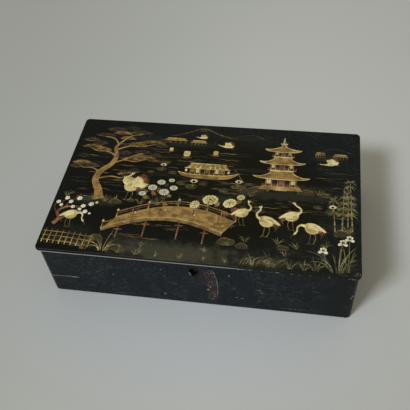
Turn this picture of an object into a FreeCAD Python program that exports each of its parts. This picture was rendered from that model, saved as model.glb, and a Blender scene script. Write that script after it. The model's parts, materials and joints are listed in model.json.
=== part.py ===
import FreeCAD, Part
import math
import os
import re

import Sketcher

# Hinged, lockable writing box in black lacquered wood, for an inkstone and brushes.
# Frame: millimetres, +Z up, origin at the centre of the footprint on the table.
# The long side runs along X, the keyhole is on the front at -Y, the hinges are at the back at +Y.

# Driving dimensions. Everything else is worked out from these.
SIZES = {
    # lid: one thin board that stands proud of the case all round
    "lid_length": 240.0,
    "lid_width": 145.0,
    "lid_thickness": 3.5,
    "lid_corner": 3.5,
    "lid_top_round": 1.0,
    "lid_under_round": 0.5,
    "overhang": 2.2,
    "side_overhang": 1.0,
    # case: four boards, finger jointed at the corners, round a rebated bottom
    "case_height": 56.5,
    "wall": 7.0,
    "case_corner": 4.0,
    "case_foot_round": 1.5,
    "bottom_thickness": 5.0,
    "rebate": 3.5,
    "finger_rows": 5.0,
    "peg_side": 1.8,
    "peg_length": 12.0,
    # butt hinges, half let in, with the pin just behind the back board
    "hinge_spread": 150.0,
    "hinge_width": 24.0,
    "knuckle_count": 5.0,
    "leaf_depth": 6.2,
    "leaf_thickness": 1.0,
    "knuckle_radius": 1.55,
    "knuckle_gap": 0.1,
    "pin_setback": 0.6,
    "pin_radius": 0.7,
    "pin_play": 0.04,
    "groove_play": 0.15,
    "hinge_screw_spread": 14.4,
    # screws
    "head_radius": 1.25,
    "head_depth": 0.7,
    "shank_radius": 0.6,
    "case_screw_length": 6.5,
    "lid_screw_length": 2.9,
    "plate_screw_length": 5.0,
    # lock, let into the inner face of the front board
    "lock_half": 25.0,
    "lock_drop": 22.5,
    "lock_case_half": 21.0,
    "lock_case_drop": 21.0,
    "lock_skin": 2.0,
    "cap_thickness": 0.8,
    "plate_thickness": 1.2,
    "selvedge_depth": 5.6,
    "lock_screw_out": 23.2,
    "lock_screw_drop": 12.0,
    "rivet_radius": 0.75,
    "rivet_out": 18.8,
    "rivet_high": 4.0,
    "rivet_low": 18.6,
    "key_drop": 10.5,
    "key_pin_radius": 0.75,
    "key_pin_reach": 0.3,
    "cap_hole_head": 1.9,
    "cap_hole_foot": 0.9,
    "cap_hole_drop": 3.6,
    # keyhole escutcheon, a pear-shaped thimble
    "thimble_head": 3.9,
    "thimble_foot": 2.4,
    "thimble_drop": 4.6,
    "thimble_wall": 0.6,
    "thimble_lip": 0.5,
    "thimble_proud": 0.35,
    # bolt and link plate
    "hook_out": 11.0,
    "hook_width": 4.4,
    "hook_thickness": 1.6,
    "hook_drop": 7.5,
    "hook_lip": 1.6,
    "hook_mouth": 3.0,
    "hook_play": 0.4,
    "link_half": 22.0,
    "link_screw_out": 18.0,
    "bolt_play": 0.1,
    "nose_gap": 0.4,
    "nose_length": 2.2,
    "nose_height": 2.4,
    "nose_drop": 3.2,
    "post_width": 2.0,
    "bar_top": 13.4,
    "bar_foot": 18.0,
    "bar_tail": 13.0,
    "talon_left": 0.6,
    "talon_right": 3.0,
    "talon_depth": 1.6,
    "spring_centre": 2.0,
    "spring_radius": 14.5,
    "spring_thickness": 0.4,
    "spring_width": 2.0,
    "spring_half": 8.0,
    "spring_gap": 0.02,
    # board that seats the inkstone and the water dropper
    "ledge_width": 8.0,
    "ledge_height": 9.0,
    "seat_thickness": 6.0,
    "seat_play": 0.3,
    "finger_scoop": 9.0,
    # inkstone
    "stone_centre_across": -37.0,
    "stone_centre_deep": 20.0,
    "stone_length": 118.0,
    "stone_width": 72.0,
    "stone_height": 21.0,
    "stone_corner": 5.0,
    "stone_edge": 1.5,
    "stone_rim": 7.0,
    "land_depth": 3.0,
    "land_end_depth": 5.0,
    "land_share": 78.0,
    "slope_run": 10.0,
    "pond_depth": 11.0,
    "basin_corner": 6.0,
    "basin_floor_round": 1.5,
    # water dropper
    "dropper_centre_across": 67.0,
    "dropper_centre_deep": 35.0,
    "dropper_side": 42.0,
    "dropper_height": 22.0,
    "dropper_corner": 6.0,
    "dropper_shoulder": 3.0,
    "dropper_wall": 2.0,
    "dropper_hole": 1.2,
    "dropper_spout_out": 13.0,
    # ink stick
    "stick_centre_across": 67.0,
    "stick_centre_deep": -4.0,
    "stick_length": 74.0,
    "stick_width": 17.0,
    "stick_height": 8.0,
    "stick_edge": 1.5,
    "stick_panel_margin": 3.5,
    "stick_panel_depth": 0.5,
    # brush tray along the front
    "tray_width": 38.0,
    "tray_play": 0.4,
    "tray_floor": 2.5,
    "tray_height": 14.0,
    "tray_wall": 3.0,
    "rest_left": -75.0,
    "rest_right": 30.0,
    "rest_thickness": 4.0,
    "rest_height": 6.0,
    "lane_spacing": 9.6,
    "lane_play": 0.4,
    "lane_rise": 0.8,
    "rest_gap": 0.02,
    # brushes
    "large_handle": 3.8,
    "small_handle": 2.9,
    "handle_length": 148.0,
    "handle_start": -104.0,
    "handle_chamfer": 1.2,
    "socket_length": 9.0,
    "socket_swell": 0.6,
    "tip_length": 34.0,
    "tip_bands": 6.0,
    "tip_root": 0.92,
    "tip_belly": 1.11,
    "tip_point": 0.1,
}

os.makedirs("parts", exist_ok=True)
doc = FreeCAD.newDocument("writing_box")
sheet = doc.addObject("Spreadsheet::Sheet", "Sizes")
for row, (alias, number) in enumerate(SIZES.items(), start=1):
    sheet.set(f"A{row}", alias)
    sheet.set(f"B{row}", str(number))
    sheet.setAlias(f"B{row}", alias)
doc.recompute()


def link(text):
    """The same expression, with every named size pointing at its cell of the sheet."""
    return re.sub(
        r"[a-z_]+",
        lambda word: "Sizes." + word.group(0) if word.group(0) in SIZES else word.group(0),
        str(text),
    )


def size(text):
    """The number that an expression on the sheet stands for."""
    return float(sheet.evalExpression(link(text)))


# Places that many pieces share, as expressions on the sheet.
HALF_LONG = "(lid_length / 2 - side_overhang)"
HALF_DEEP = "(lid_width / 2 - overhang)"
SEAM = "case_height"
INNER_LONG = f"({HALF_LONG} - wall)"
INNER_DEEP = f"({HALF_DEEP} - wall)"
AXIS_DEEP = f"({HALF_DEEP} + pin_setback)"
GROOVE_RADIUS = "(knuckle_radius + groove_play)"
LOCK_FRONT = f"(-{HALF_DEEP} + lock_skin)"
CAP_BACK = f"(-{HALF_DEEP} + lock_skin + cap_thickness)"
PLATE_FRONT = f"(-{INNER_DEEP} - plate_thickness)"
LOCK_BACK = f"(-{INNER_DEEP})"
LOCK_MIDDLE = f"(({CAP_BACK} + {PLATE_FRONT}) / 2)"
SELVEDGE_FRONT = f"(-{INNER_DEEP} - selvedge_depth)"
KEY_UP = "(case_height - key_drop)"
SEAT_LOW = "(bottom_thickness + ledge_height)"
SEAT_TOP = "(bottom_thickness + ledge_height + seat_thickness)"
TRAY_FLOOR_TOP = f"({SEAT_TOP} + tray_floor)"
TRAY_TOP = f"({SEAT_TOP} + tray_height)"
TRAY_HALF = f"({INNER_LONG} - tray_play)"
TRAY_FRONT = f"(-{INNER_DEEP} + tray_play)"
TRAY_BACK = f"(-{INNER_DEEP} + tray_play + tray_width)"

TURNS = {
    "+X": FreeCAD.Rotation(FreeCAD.Vector(0, 1, 0), 90),
    "-Y": FreeCAD.Rotation(FreeCAD.Vector(1, 0, 0), 90),
    "+Y": FreeCAD.Rotation(FreeCAD.Vector(1, 0, 0), -90),
    "+Z": FreeCAD.Rotation(),
    "-Z": FreeCAD.Rotation(FreeCAD.Vector(1, 0, 0), 180),
}


# Part primitives and booleans whose sizes follow the sheet.
def bind(made, **sizes):
    for name, text in sizes.items():
        made.setExpression(name, link(text))
    return made


def place(made, base, turn="+Z"):
    made.Placement = FreeCAD.Placement(FreeCAD.Vector(), TURNS[turn])
    for axis, text in zip("xyz", base):
        made.setExpression(f"Placement.Base.{axis}", link(text))
    return made


def block(name, low, high):
    """A box between two corners."""
    made = doc.addObject("Part::Box", name)
    spans = [f"({far}) - ({near})" for near, far in zip(low, high)]
    bind(made, Length=spans[0], Width=spans[1], Height=spans[2])
    return place(made, low)


def rod(name, radius, length, base, turn):
    """A cylinder from base along turn."""
    made = doc.addObject("Part::Cylinder", name)
    bind(made, Radius=radius, Height=length)
    return place(made, base, turn)


def fuse(name, *pieces):
    made = doc.addObject("Part::MultiFuse", name)
    made.Shapes = list(pieces)
    made.Refine = True
    return made


def cut(name, base, *tools):
    made = doc.addObject("Part::Cut", name)
    made.Base = base
    made.Tool = tools[0] if len(tools) == 1 else group(name + "_tools", *tools)
    made.Refine = True
    return made


def common(name, first, second):
    made = doc.addObject("Part::MultiCommon", name)
    made.Shapes = [first, second]
    made.Refine = True
    return made


def group(name, *pieces):
    """Separate solids that belong to one name."""
    made = doc.addObject("Part::Compound", name)
    made.Links = list(pieces)
    return made


# PartDesign bodies with constrained sketches.
def new_body(name):
    return doc.addObject("PartDesign::Body", name)


def new_sketch(body, plane, offset="0"):
    """An empty sketch on one of the body's own origin planes. Offset runs along the plane's normal."""
    made = body.newObject("Sketcher::SketchObject", body.Name + "_sketch")
    origin_plane = next(f for f in body.Origin.OriginFeatures if f.Role == plane)
    made.AttachmentSupport = (origin_plane, [""])
    made.MapMode = "FlatFace"
    made.setExpression("AttachmentOffset.Base.z", link(offset))
    return made


def fix(sketch, kind, *where, to):
    """A dimension of the sketch, held to an expression."""
    number = sketch.addConstraint(Sketcher.Constraint(kind, *where, size(to)))
    sketch.setExpression(f"Constraints[{number}]", link(to))


def outline(sketch, points):
    """A closed run of straight lines through (across, up) expressions."""
    first = len(sketch.Geometry)
    spots = [FreeCAD.Vector(size(across), size(up), 0) for across, up in points]
    for number, spot in enumerate(spots):
        sketch.addGeometry(Part.LineSegment(spot, spots[(number + 1) % len(spots)]))
    for number, (across, up) in enumerate(points):
        this = first + number
        following = first + (number + 1) % len(points)
        sketch.addConstraint(Sketcher.Constraint("Coincident", this, 2, following, 1))
        fix(sketch, "DistanceX", -1, 1, this, 1, to=across)
        fix(sketch, "DistanceY", -1, 1, this, 1, to=up)


def rectangle(sketch, left, right, low, high):
    outline(sketch, [(left, low), (right, low), (right, high), (left, high)])


def circle(sketch, across, up, radius):
    number = len(sketch.Geometry)
    centre = FreeCAD.Vector(size(across), size(up), 0)
    sketch.addGeometry(Part.Circle(centre, FreeCAD.Vector(0, 0, 1), size(radius)))
    fix(sketch, "DistanceX", -1, 1, number, 3, to=across)
    fix(sketch, "DistanceY", -1, 1, number, 3, to=up)
    fix(sketch, "Radius", number, to=radius)


def pear(sketch, up, drop, head, foot):
    """Keyhole outline: a round head at height up, a smaller round foot below it, tangent lines between."""
    top, fall, large, small = size(up), size(drop), size(head), size(foot)
    lean = math.asin((large - small) / fall)
    normal = FreeCAD.Vector(0, 0, 1)
    centres = [FreeCAD.Vector(0, top, 0), FreeCAD.Vector(0, top - fall, 0)]
    right = FreeCAD.Vector(math.cos(lean), math.sin(lean), 0)
    left = FreeCAD.Vector(-right.x, right.y, 0)
    round_head = Part.Circle(centres[0], normal, large)
    round_foot = Part.Circle(centres[1], normal, small)
    sketch.addGeometry(Part.ArcOfCircle(round_head, lean, math.pi - lean))
    sketch.addGeometry(Part.LineSegment(centres[0] + left * large, centres[1] + left * small))
    sketch.addGeometry(Part.ArcOfCircle(round_foot, math.pi - lean, 2 * math.pi + lean))
    sketch.addGeometry(Part.LineSegment(centres[1] + right * small, centres[0] + right * large))
    for first, end, second, start in ((0, 2, 1, 1), (1, 2, 2, 1), (2, 2, 3, 1), (3, 2, 0, 1)):
        sketch.addConstraint(Sketcher.Constraint("Tangent", first, end, second, start))
    for arc, height, radius in ((0, up, head), (2, f"{up} - ({drop})", foot)):
        sketch.addConstraint(Sketcher.Constraint("PointOnObject", arc, 3, -2))
        fix(sketch, "DistanceY", -1, 1, arc, 3, to=height)
        fix(sketch, "Radius", arc, to=radius)


def pad(body, sketch, length, reverse=False):
    made = body.newObject("PartDesign::Pad", body.Name + "_pad")
    made.Profile = sketch
    made.Reversed = reverse
    made.setExpression("Length", link(length))
    sketch.Visibility = False
    doc.recompute()
    return made


def pocket(body, sketch, length, reverse=False):
    made = body.newObject("PartDesign::Pocket", body.Name + "_pocket")
    made.Profile = sketch
    made.Reversed = reverse
    made.setExpression("Length", link(length))
    before = body.Shape.Volume
    doc.recompute()
    if made.Shape.Volume >= before:
        raise RuntimeError(f"{made.Name} cuts nothing")
    return made


def edges_where(feature, wanted):
    """Names of the edges whose bounding box passes the test."""
    found = enumerate(feature.Shape.Edges, start=1)
    return [f"Edge{number}" for number, edge in found if wanted(edge.BoundBox)]


def ease(body, kind, amount_name, feature, amount, wanted):
    made = body.newObject("PartDesign::" + kind, body.Name + "_" + kind.lower())
    made.Base = (feature, edges_where(feature, wanted))
    made.setExpression(amount_name, link(amount))
    doc.recompute()
    return made


def fillet(body, feature, radius, wanted):
    return ease(body, "Fillet", "Radius", feature, radius, wanted)


def chamfer(body, feature, depth, wanted):
    return ease(body, "Chamfer", "Size", feature, depth, wanted)


def upright(box):
    return box.ZLength > 1 and box.XLength < 1e-6 and box.YLength < 1e-6


def level_at(height):
    """Test for edges that lie flat at one height."""
    level = size(height)
    return lambda box: abs(box.ZMin - level) < 1e-6 and abs(box.ZMax - level) < 1e-6


def slab(name, left, right, near, far, low, height):
    """A rectangular pad between heights, as a body that can be rounded."""
    body = new_body(name)
    sketch = new_sketch(body, "XY_Plane", low)
    rectangle(sketch, left, right, near, far)
    return body, pad(body, sketch, height)


def pear_plug(name, drop, head, foot, face, depth):
    """A solid with the keyhole outline, from the plane y = face back into the wood by depth."""
    body = new_body(name)
    sketch = new_sketch(body, "XZ_Plane", f"-({face})")
    pear(sketch, KEY_UP, drop, head, foot)
    pad(body, sketch, depth, reverse=True)
    return body


# Screws: a countersunk head level with the plate, and a plain shank that stands for the thread.
def screw(name, base, turn, length):
    head = doc.addObject("Part::Cone", name + "_head")
    bind(head, Radius1="head_radius", Radius2="shank_radius", Height="head_depth")
    place(head, base, turn)
    shank = rod(name + "_shank", "shank_radius", length, base, turn)
    return fuse(name, head, shank)


# Hinges. The case's leaf and the lid's leaf share one axis, and take turns along it.
def hinge_side(side):
    return "left" if side < 0 else "right"


def leaf(name, side, low, high, rows, bore, screws):
    """One leaf: a plate, its own knuckles, and rounded windows for the other leaf's knuckles."""
    centre = f"{side} * hinge_spread / 2"
    start = f"({centre} - hinge_width / 2)"
    pitch = "(hinge_width / knuckle_count)"
    plate = block(
        name + "_plate",
        (start, f"{HALF_DEEP} - leaf_depth", low),
        (f"{centre} + hinge_width / 2", AXIS_DEEP, high),
    )
    windows = []
    knuckles = []
    for row in range(int(size("knuckle_count"))):
        at = f"{start} + {row} * {pitch}"
        if row in rows:
            base = (f"{at} + knuckle_gap / 2", AXIS_DEEP, SEAM)
            length = f"{pitch} - knuckle_gap"
            knuckles.append(rod(f"{name}_knuckle_{row}", "knuckle_radius", length, base, "+X"))
        else:
            base = (at, AXIS_DEEP, SEAM)
            windows.append(rod(f"{name}_window_{row}", GROOVE_RADIUS, pitch, base, "+X"))
    body = fuse(name + "_body", cut(name + "_open", plate, *windows), *knuckles)
    hole = rod(name + "_bore", bore, "hinge_width", (start, AXIS_DEEP, SEAM), "+X")
    return cut(name, body, hole, *screws)


def hinge_screws(side, turn, length, label):
    made = []
    for number in (-1, 1):
        across = f"{side} * hinge_spread / 2 + {number} * hinge_screw_spread / 2"
        base = (across, f"{HALF_DEEP} - leaf_depth / 2 - pin_setback / 2", SEAM)
        made.append(screw(f"{label}_{hinge_side(side)}_{number + 2}", base, turn, length))
    return made


case_hinge_screws = []
lid_hinge_screws = []
hinge_cutters = []
parts = []
for side in (-1, 1):
    name = hinge_side(side)
    case_screws = hinge_screws(side, "-Z", "case_screw_length", "case_screw")
    lid_screws = hinge_screws(side, "+Z", "lid_screw_length", "lid_screw")
    low, high = f"{SEAM} - leaf_thickness", f"{SEAM} + leaf_thickness"
    case_leaf = leaf("hinge_leaf_case_" + name, side, low, SEAM, (0, 2, 4), "pin_radius", case_screws)
    lid_leaf = leaf(
        "hinge_leaf_lid_" + name, side, SEAM, high, (1, 3), "pin_radius + pin_play", lid_screws
    )
    start = f"{side} * hinge_spread / 2 - hinge_width / 2"
    pin = rod("hinge_pin_" + name, "pin_radius", "hinge_width", (start, AXIS_DEEP, SEAM), "+X")
    groove = rod(
        "hinge_groove_" + name,
        GROOVE_RADIUS,
        "hinge_width + 2 * groove_play",
        (f"{start} - groove_play", AXIS_DEEP, SEAM),
        "+X",
    )
    recess = block(
        "hinge_recess_" + name,
        (start, f"{HALF_DEEP} - leaf_depth", low),
        (f"{start} + hinge_width", AXIS_DEEP, high),
    )
    hinge_cutters += [groove, recess]
    case_hinge_screws += case_screws
    lid_hinge_screws += lid_screws
    parts += [case_leaf, lid_leaf, pin]
hinge_screws_case = group("hinge_screws_case", *case_hinge_screws)
hinge_screws_lid = group("hinge_screws_lid", *lid_hinge_screws)
parts += [hinge_screws_case, hinge_screws_lid]

# Lock. A plate with a turned-over selvedge carries a rim and a cap, held by four rivets.
backplate = block(
    "backplate", ("-lock_half", PLATE_FRONT, f"{SEAM} - lock_drop"), ("lock_half", LOCK_BACK, SEAM)
)
selvedge = block(
    "selvedge",
    ("-lock_half", SELVEDGE_FRONT, f"{SEAM} - plate_thickness"),
    ("lock_half", LOCK_BACK, SEAM),
)
hook_slots = [
    block(
        f"hook_slot_{number + 2}",
        (
            f"{number} * hook_out - hook_width / 2 - hook_play",
            f"{LOCK_MIDDLE} - hook_thickness / 2 - hook_play",
            f"{SEAM} - plate_thickness",
        ),
        (
            f"{number} * hook_out + hook_width / 2 + hook_play",
            f"{LOCK_MIDDLE} + hook_thickness / 2 + hook_play",
            SEAM,
        ),
    )
    for number in (-1, 1)
]
lock_screws = []
for number in (-1, 1):
    across = f"{number} * lock_screw_out"
    base = (across, LOCK_BACK, f"{SEAM} - lock_screw_drop")
    lock_screws.append(screw(f"back_screw_{number + 2}", base, "-Y", "plate_screw_length"))
    base = (across, LOCK_MIDDLE, SEAM)
    lock_screws.append(screw(f"top_screw_{number + 2}", base, "-Z", "plate_screw_length"))
rivets = [
    rod(
        f"rivet_{number + 2}_{drop}",
        "rivet_radius",
        f"{LOCK_BACK} - {LOCK_FRONT}",
        (f"{number} * rivet_out", LOCK_FRONT, f"{SEAM} - {drop}"),
        "+Y",
    )
    for number in (-1, 1)
    for drop in ("rivet_high", "rivet_low")
]
lock_key_pin = rod(
    "lock_key_pin",
    "key_pin_radius",
    f"{LOCK_BACK} - {LOCK_FRONT} + key_pin_reach",
    ("0", f"{LOCK_FRONT} - key_pin_reach", KEY_UP),
    "+Y",
)
lock_plate = cut(
    "lock_plate",
    fuse("lock_plate_blank", backplate, selvedge),
    *hook_slots,
    *lock_screws,
    *rivets,
    lock_key_pin,
)
rim_outside = block(
    "rim_outside",
    ("-lock_case_half", CAP_BACK, f"{SEAM} - lock_case_drop"),
    ("lock_case_half", PLATE_FRONT, f"{SEAM} - plate_thickness"),
)
RIM_FLOOR = f"({SEAM} - lock_case_drop + plate_thickness)"
rim_inside = block(
    "rim_inside",
    ("-lock_case_half + plate_thickness", CAP_BACK, RIM_FLOOR),
    ("lock_case_half - plate_thickness", PLATE_FRONT, SEAM),
)
lock_rim = cut("lock_rim", rim_outside, rim_inside)
cap_blank = block(
    "cap_blank",
    ("-lock_case_half", LOCK_FRONT, f"{SEAM} - lock_case_drop"),
    ("lock_case_half", CAP_BACK, f"{SEAM} - plate_thickness"),
)
cap_hole = pear_plug(
    "cap_hole", "cap_hole_drop", "cap_hole_head", "cap_hole_foot", LOCK_FRONT, "cap_thickness"
)
lock_cap = cut("lock_cap", cap_blank, cap_hole, *rivets)
lock_rivets = group("lock_rivets", *rivets)
lock_screw_set = group("lock_screws", *lock_screws)
parts += [lock_plate, lock_rim, lock_cap, lock_key_pin, lock_rivets, lock_screw_set]


# Bolt: a bar with a talon for the key, and a post with a nose for each hook. It slides to -X to lock.
def bolt_points():
    bar_top, bar_foot = f"{SEAM} - bar_top", f"{SEAM} - bar_foot"
    nose_top, nose_under = f"{SEAM} - nose_drop", f"{SEAM} - nose_drop - nose_height"
    points = [("-bar_tail", bar_top), ("-bar_tail", bar_foot)]
    end = "hook_out + hook_width / 2 + nose_gap + nose_length + post_width"
    points.append((end, bar_foot))
    for number in (1, -1):
        tip = f"{number} * hook_out + hook_width / 2 + nose_gap"
        post = f"{tip} + nose_length"
        points.append((f"{post} + post_width", nose_top))
        points.append((tip, nose_top))
        points.append((tip, nose_under))
        points.append((post, nose_under))
        points.append((post, bar_top))
        if number > 0:
            points.append(("talon_right", bar_top))
            points.append(("talon_right", f"{bar_top} - talon_depth"))
            points.append(("-talon_left", f"{bar_top} - talon_depth"))
            points.append(("-talon_left", bar_top))
            next_post = "-hook_out + hook_width / 2 + nose_gap + nose_length + post_width"
            points.append((next_post, bar_top))
    return points


lock_bolt = new_body("lock_bolt")
bolt_sketch = new_sketch(lock_bolt, "XZ_Plane", f"-({PLATE_FRONT} - bolt_play)")
outline(bolt_sketch, bolt_points())
pad(lock_bolt, bolt_sketch, f"{PLATE_FRONT} - {CAP_BACK} - 2 * bolt_play")

# Bow spring under the bar. It holds the bolt where the key leaves it.
crown = f"({SEAM} - bar_foot - spring_gap)"
bow_centre = ("spring_centre", f"{LOCK_MIDDLE} - spring_width / 2", f"{crown} - spring_radius")
bow_outside = rod("bow_outside", "spring_radius", "spring_width", bow_centre, "+Y")
bow_inside = rod("bow_inside", "spring_radius - spring_thickness", "spring_width", bow_centre, "+Y")
bow_window = block(
    "bow_window",
    ("spring_centre - spring_half", f"{LOCK_MIDDLE} - spring_width / 2", RIM_FLOOR),
    ("spring_centre + spring_half", f"{LOCK_MIDDLE} + spring_width / 2", crown),
)
bolt_spring = common("bolt_spring", cut("bow", bow_outside, bow_inside), bow_window)
parts += [lock_bolt, bolt_spring]

# Link plate on the lid, with two hooks that drop through the selvedge.
link_plate_body = new_body("link_plate_body")
link_sketch = new_sketch(link_plate_body, "XY_Plane", SEAM)
rectangle(link_sketch, "-link_half", "link_half", SELVEDGE_FRONT, LOCK_BACK)
pad(link_plate_body, link_sketch, "plate_thickness")
for number in (-1, 1):
    hook_sketch = new_sketch(
        link_plate_body, "XZ_Plane", f"-({LOCK_MIDDLE} + hook_thickness / 2)"
    )
    middle = f"{number} * hook_out"
    left, right = f"{middle} - hook_width / 2", f"{middle} + hook_width / 2"
    tip = f"{SEAM} - hook_drop"
    outline(
        hook_sketch,
        [
            (left, SEAM),
            (left, tip),
            (right, tip),
            (right, f"{tip} + hook_lip"),
            (middle, f"{tip} + hook_lip"),
            (middle, f"{tip} + hook_lip + hook_mouth"),
            (right, f"{tip} + hook_lip + hook_mouth"),
            (right, SEAM),
        ],
    )
    pad(link_plate_body, hook_sketch, "hook_thickness")
link_screws = [
    screw(
        f"link_screw_{number + 2}",
        (f"{number} * link_screw_out", LOCK_MIDDLE, SEAM),
        "+Z",
        "lid_screw_length",
    )
    for number in (-1, 1)
]
link_plate = cut("link_plate", link_plate_body, *link_screws)
link_plate_screws = group("link_plate_screws", *link_screws)
parts += [link_plate, link_plate_screws]

# Keyhole escutcheon: a pear-shaped thimble with a turned-out lip.
THIMBLE_FACE = f"(-{HALF_DEEP})"
thimble = pear_plug(
    "thimble", "thimble_drop", "thimble_head", "thimble_foot", THIMBLE_FACE, "lock_skin"
)
lip = pear_plug(
    "lip",
    "thimble_drop",
    "thimble_head + thimble_lip",
    "thimble_foot + thimble_lip",
    f"{THIMBLE_FACE} - thimble_proud",
    "thimble_proud",
)
lip_face = size(f"{THIMBLE_FACE} - thimble_proud")
chamfer(lip, lip.Tip, "thimble_proud / 2", lambda box: abs(box.YMax - lip_face) < 1e-6)
thimble_bore = pear_plug(
    "thimble_bore",
    "thimble_drop",
    "thimble_head - thimble_wall",
    "thimble_foot - thimble_wall",
    f"{THIMBLE_FACE} - thimble_proud",
    "thimble_proud + lock_skin",
)
keyhole_escutcheon = cut("keyhole_escutcheon", fuse("escutcheon_blank", thimble, lip), thimble_bore)
parts.append(keyhole_escutcheon)

# Lid: one thin board with rounded corners and edges, let in for the hinges and the link plate.
lid_blank, lid_pad = slab(
    "lid_blank",
    "-lid_length / 2",
    "lid_length / 2",
    "-lid_width / 2",
    "lid_width / 2",
    SEAM,
    "lid_thickness",
)
lid_corners = fillet(lid_blank, lid_pad, "lid_corner", upright)
lid_top = fillet(lid_blank, lid_corners, "lid_top_round", level_at(f"{SEAM} + lid_thickness"))
fillet(lid_blank, lid_top, "lid_under_round", level_at(SEAM))
link_recess = block(
    "link_recess",
    ("-link_half", SELVEDGE_FRONT, SEAM),
    ("link_half", LOCK_BACK, f"{SEAM} + plate_thickness"),
)
lid_board = cut(
    "lid_board", lid_blank, link_recess, *hinge_cutters, *lid_hinge_screws, *link_screws
)
parts.append(lid_board)

# Case: the envelope rounds the corners and the foot of all the boards alike.
envelope, envelope_pad = slab(
    "case_envelope", f"-{HALF_LONG}", HALF_LONG, f"-{HALF_DEEP}", HALF_DEEP, "0", "case_height"
)
envelope_corners = fillet(envelope, envelope_pad, "case_corner", upright)
fillet(envelope, envelope_corners, "case_foot_round", level_at("0"))

bottom_blank = block(
    "bottom_blank",
    (f"-{HALF_LONG} + rebate", f"-{HALF_DEEP} + rebate", "0"),
    (f"{HALF_LONG} - rebate", f"{HALF_DEEP} - rebate", "bottom_thickness"),
)
peg_inset = "(wall + rebate) / 2"
peg_places = [
    (f"{share} * lid_length", f"{side} * ({HALF_DEEP} - {peg_inset})")
    for share in (-0.38, -0.13, 0.13, 0.38)
    for side in (-1, 1)
]
peg_places += [(f"{side} * ({HALF_LONG} - {peg_inset})", "0") for side in (-1, 1)]
pegs = [
    block(
        f"peg_{number}",
        (f"{across} - peg_side / 2", f"{deep} - peg_side / 2", "0"),
        (f"{across} + peg_side / 2", f"{deep} + peg_side / 2", "peg_length"),
    )
    for number, (across, deep) in enumerate(peg_places)
]
bottom_pegs = group("bottom_pegs", *pegs)
bottom_board = cut("bottom_board", bottom_blank, *pegs)


def corner_fingers(rows):
    """The blocks at the four corners that lie in the given rows of the finger joint."""
    made = []
    for row in rows:
        for side in (-1, 1):
            for end in (-1, 1):
                near_x, far_x = sorted((f"{side} * {HALF_LONG}", f"{side} * {INNER_LONG}"), key=size)
                near_y, far_y = sorted((f"{end} * {HALF_DEEP}", f"{end} * {INNER_DEEP}"), key=size)
                made.append(
                    block(
                        f"finger_{row}_{side + 2}_{end + 2}",
                        (near_x, near_y, f"{row} * case_height / finger_rows"),
                        (far_x, far_y, f"{row + 1} * case_height / finger_rows"),
                    )
                )
    return made


front_gaps = corner_fingers((1, 3))
side_gaps = corner_fingers((0, 2, 4))


def case_board(name, low, high, gaps, *tools):
    """One side of the case: fingers at its ends, a rebate for the bottom, and the shared outside shape."""
    blank = block(name + "_blank", low, high)
    return common(name, cut(name + "_cut", blank, bottom_blank, *pegs, *gaps, *tools), envelope)


lock_mortise = block(
    "lock_mortise",
    ("-lock_case_half", LOCK_FRONT, f"{SEAM} - lock_case_drop"),
    ("lock_case_half", LOCK_BACK, SEAM),
)
plate_recess = block(
    "plate_recess",
    ("-lock_half", PLATE_FRONT, f"{SEAM} - lock_drop"),
    ("lock_half", LOCK_BACK, SEAM),
)
selvedge_recess = block(
    "selvedge_recess",
    ("-lock_half", SELVEDGE_FRONT, f"{SEAM} - plate_thickness"),
    ("lock_half", LOCK_BACK, SEAM),
)
front_board = case_board(
    "front_board",
    (f"-{HALF_LONG}", f"-{HALF_DEEP}", "0"),
    (HALF_LONG, f"-{INNER_DEEP}", SEAM),
    front_gaps,
    lock_mortise,
    plate_recess,
    selvedge_recess,
    thimble,
    *lock_screws,
)
back_board = case_board(
    "back_board",
    (f"-{HALF_LONG}", INNER_DEEP, "0"),
    (HALF_LONG, HALF_DEEP, SEAM),
    front_gaps,
    *hinge_cutters,
    *case_hinge_screws,
)
left_board = case_board(
    "left_board",
    (f"-{HALF_LONG}", f"-{HALF_DEEP}", "0"),
    (f"-{INNER_LONG}", HALF_DEEP, SEAM),
    side_gaps,
)
right_board = case_board(
    "right_board",
    (INNER_LONG, f"-{HALF_DEEP}", "0"),
    (HALF_LONG, HALF_DEEP, SEAM),
    side_gaps,
)
parts += [front_board, back_board, left_board, right_board, bottom_board, bottom_pegs]

# Ledges at both ends carry the seat board, which has an opening for the stone and one for the dropper.
for side in (-1, 1):
    near, far = sorted((f"{side} * {INNER_LONG}", f"{side} * ({INNER_LONG} - ledge_width)"), key=size)
    parts.append(
        block(
            "ledge_" + hinge_side(side),
            (near, f"-{INNER_DEEP}", "bottom_thickness"),
            (far, INNER_DEEP, SEAT_LOW),
        )
    )
seat_board, seat_pad = slab(
    "seat_board",
    f"-{INNER_LONG} + seat_play",
    f"{INNER_LONG} - seat_play",
    f"-{INNER_DEEP} + seat_play",
    f"{INNER_DEEP} - seat_play",
    SEAT_LOW,
    "seat_thickness",
)
STONE_LEFT = "(stone_centre_across - stone_length / 2)"
STONE_RIGHT = "(stone_centre_across + stone_length / 2)"
STONE_NEAR = "(stone_centre_deep - stone_width / 2)"
STONE_FAR = "(stone_centre_deep + stone_width / 2)"
DROPPER_LEFT = "(dropper_centre_across - dropper_side / 2)"
DROPPER_RIGHT = "(dropper_centre_across + dropper_side / 2)"
DROPPER_NEAR = "(dropper_centre_deep - dropper_side / 2)"
DROPPER_FAR = "(dropper_centre_deep + dropper_side / 2)"
stone_seat = new_sketch(seat_board, "XY_Plane", SEAT_TOP)
rectangle(
    stone_seat,
    f"{STONE_LEFT} - seat_play",
    f"{STONE_RIGHT} + seat_play",
    f"{STONE_NEAR} - seat_play",
    f"{STONE_FAR} + seat_play",
)
pocket(seat_board, stone_seat, "seat_thickness")
dropper_seat = new_sketch(seat_board, "XY_Plane", SEAT_TOP)
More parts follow.
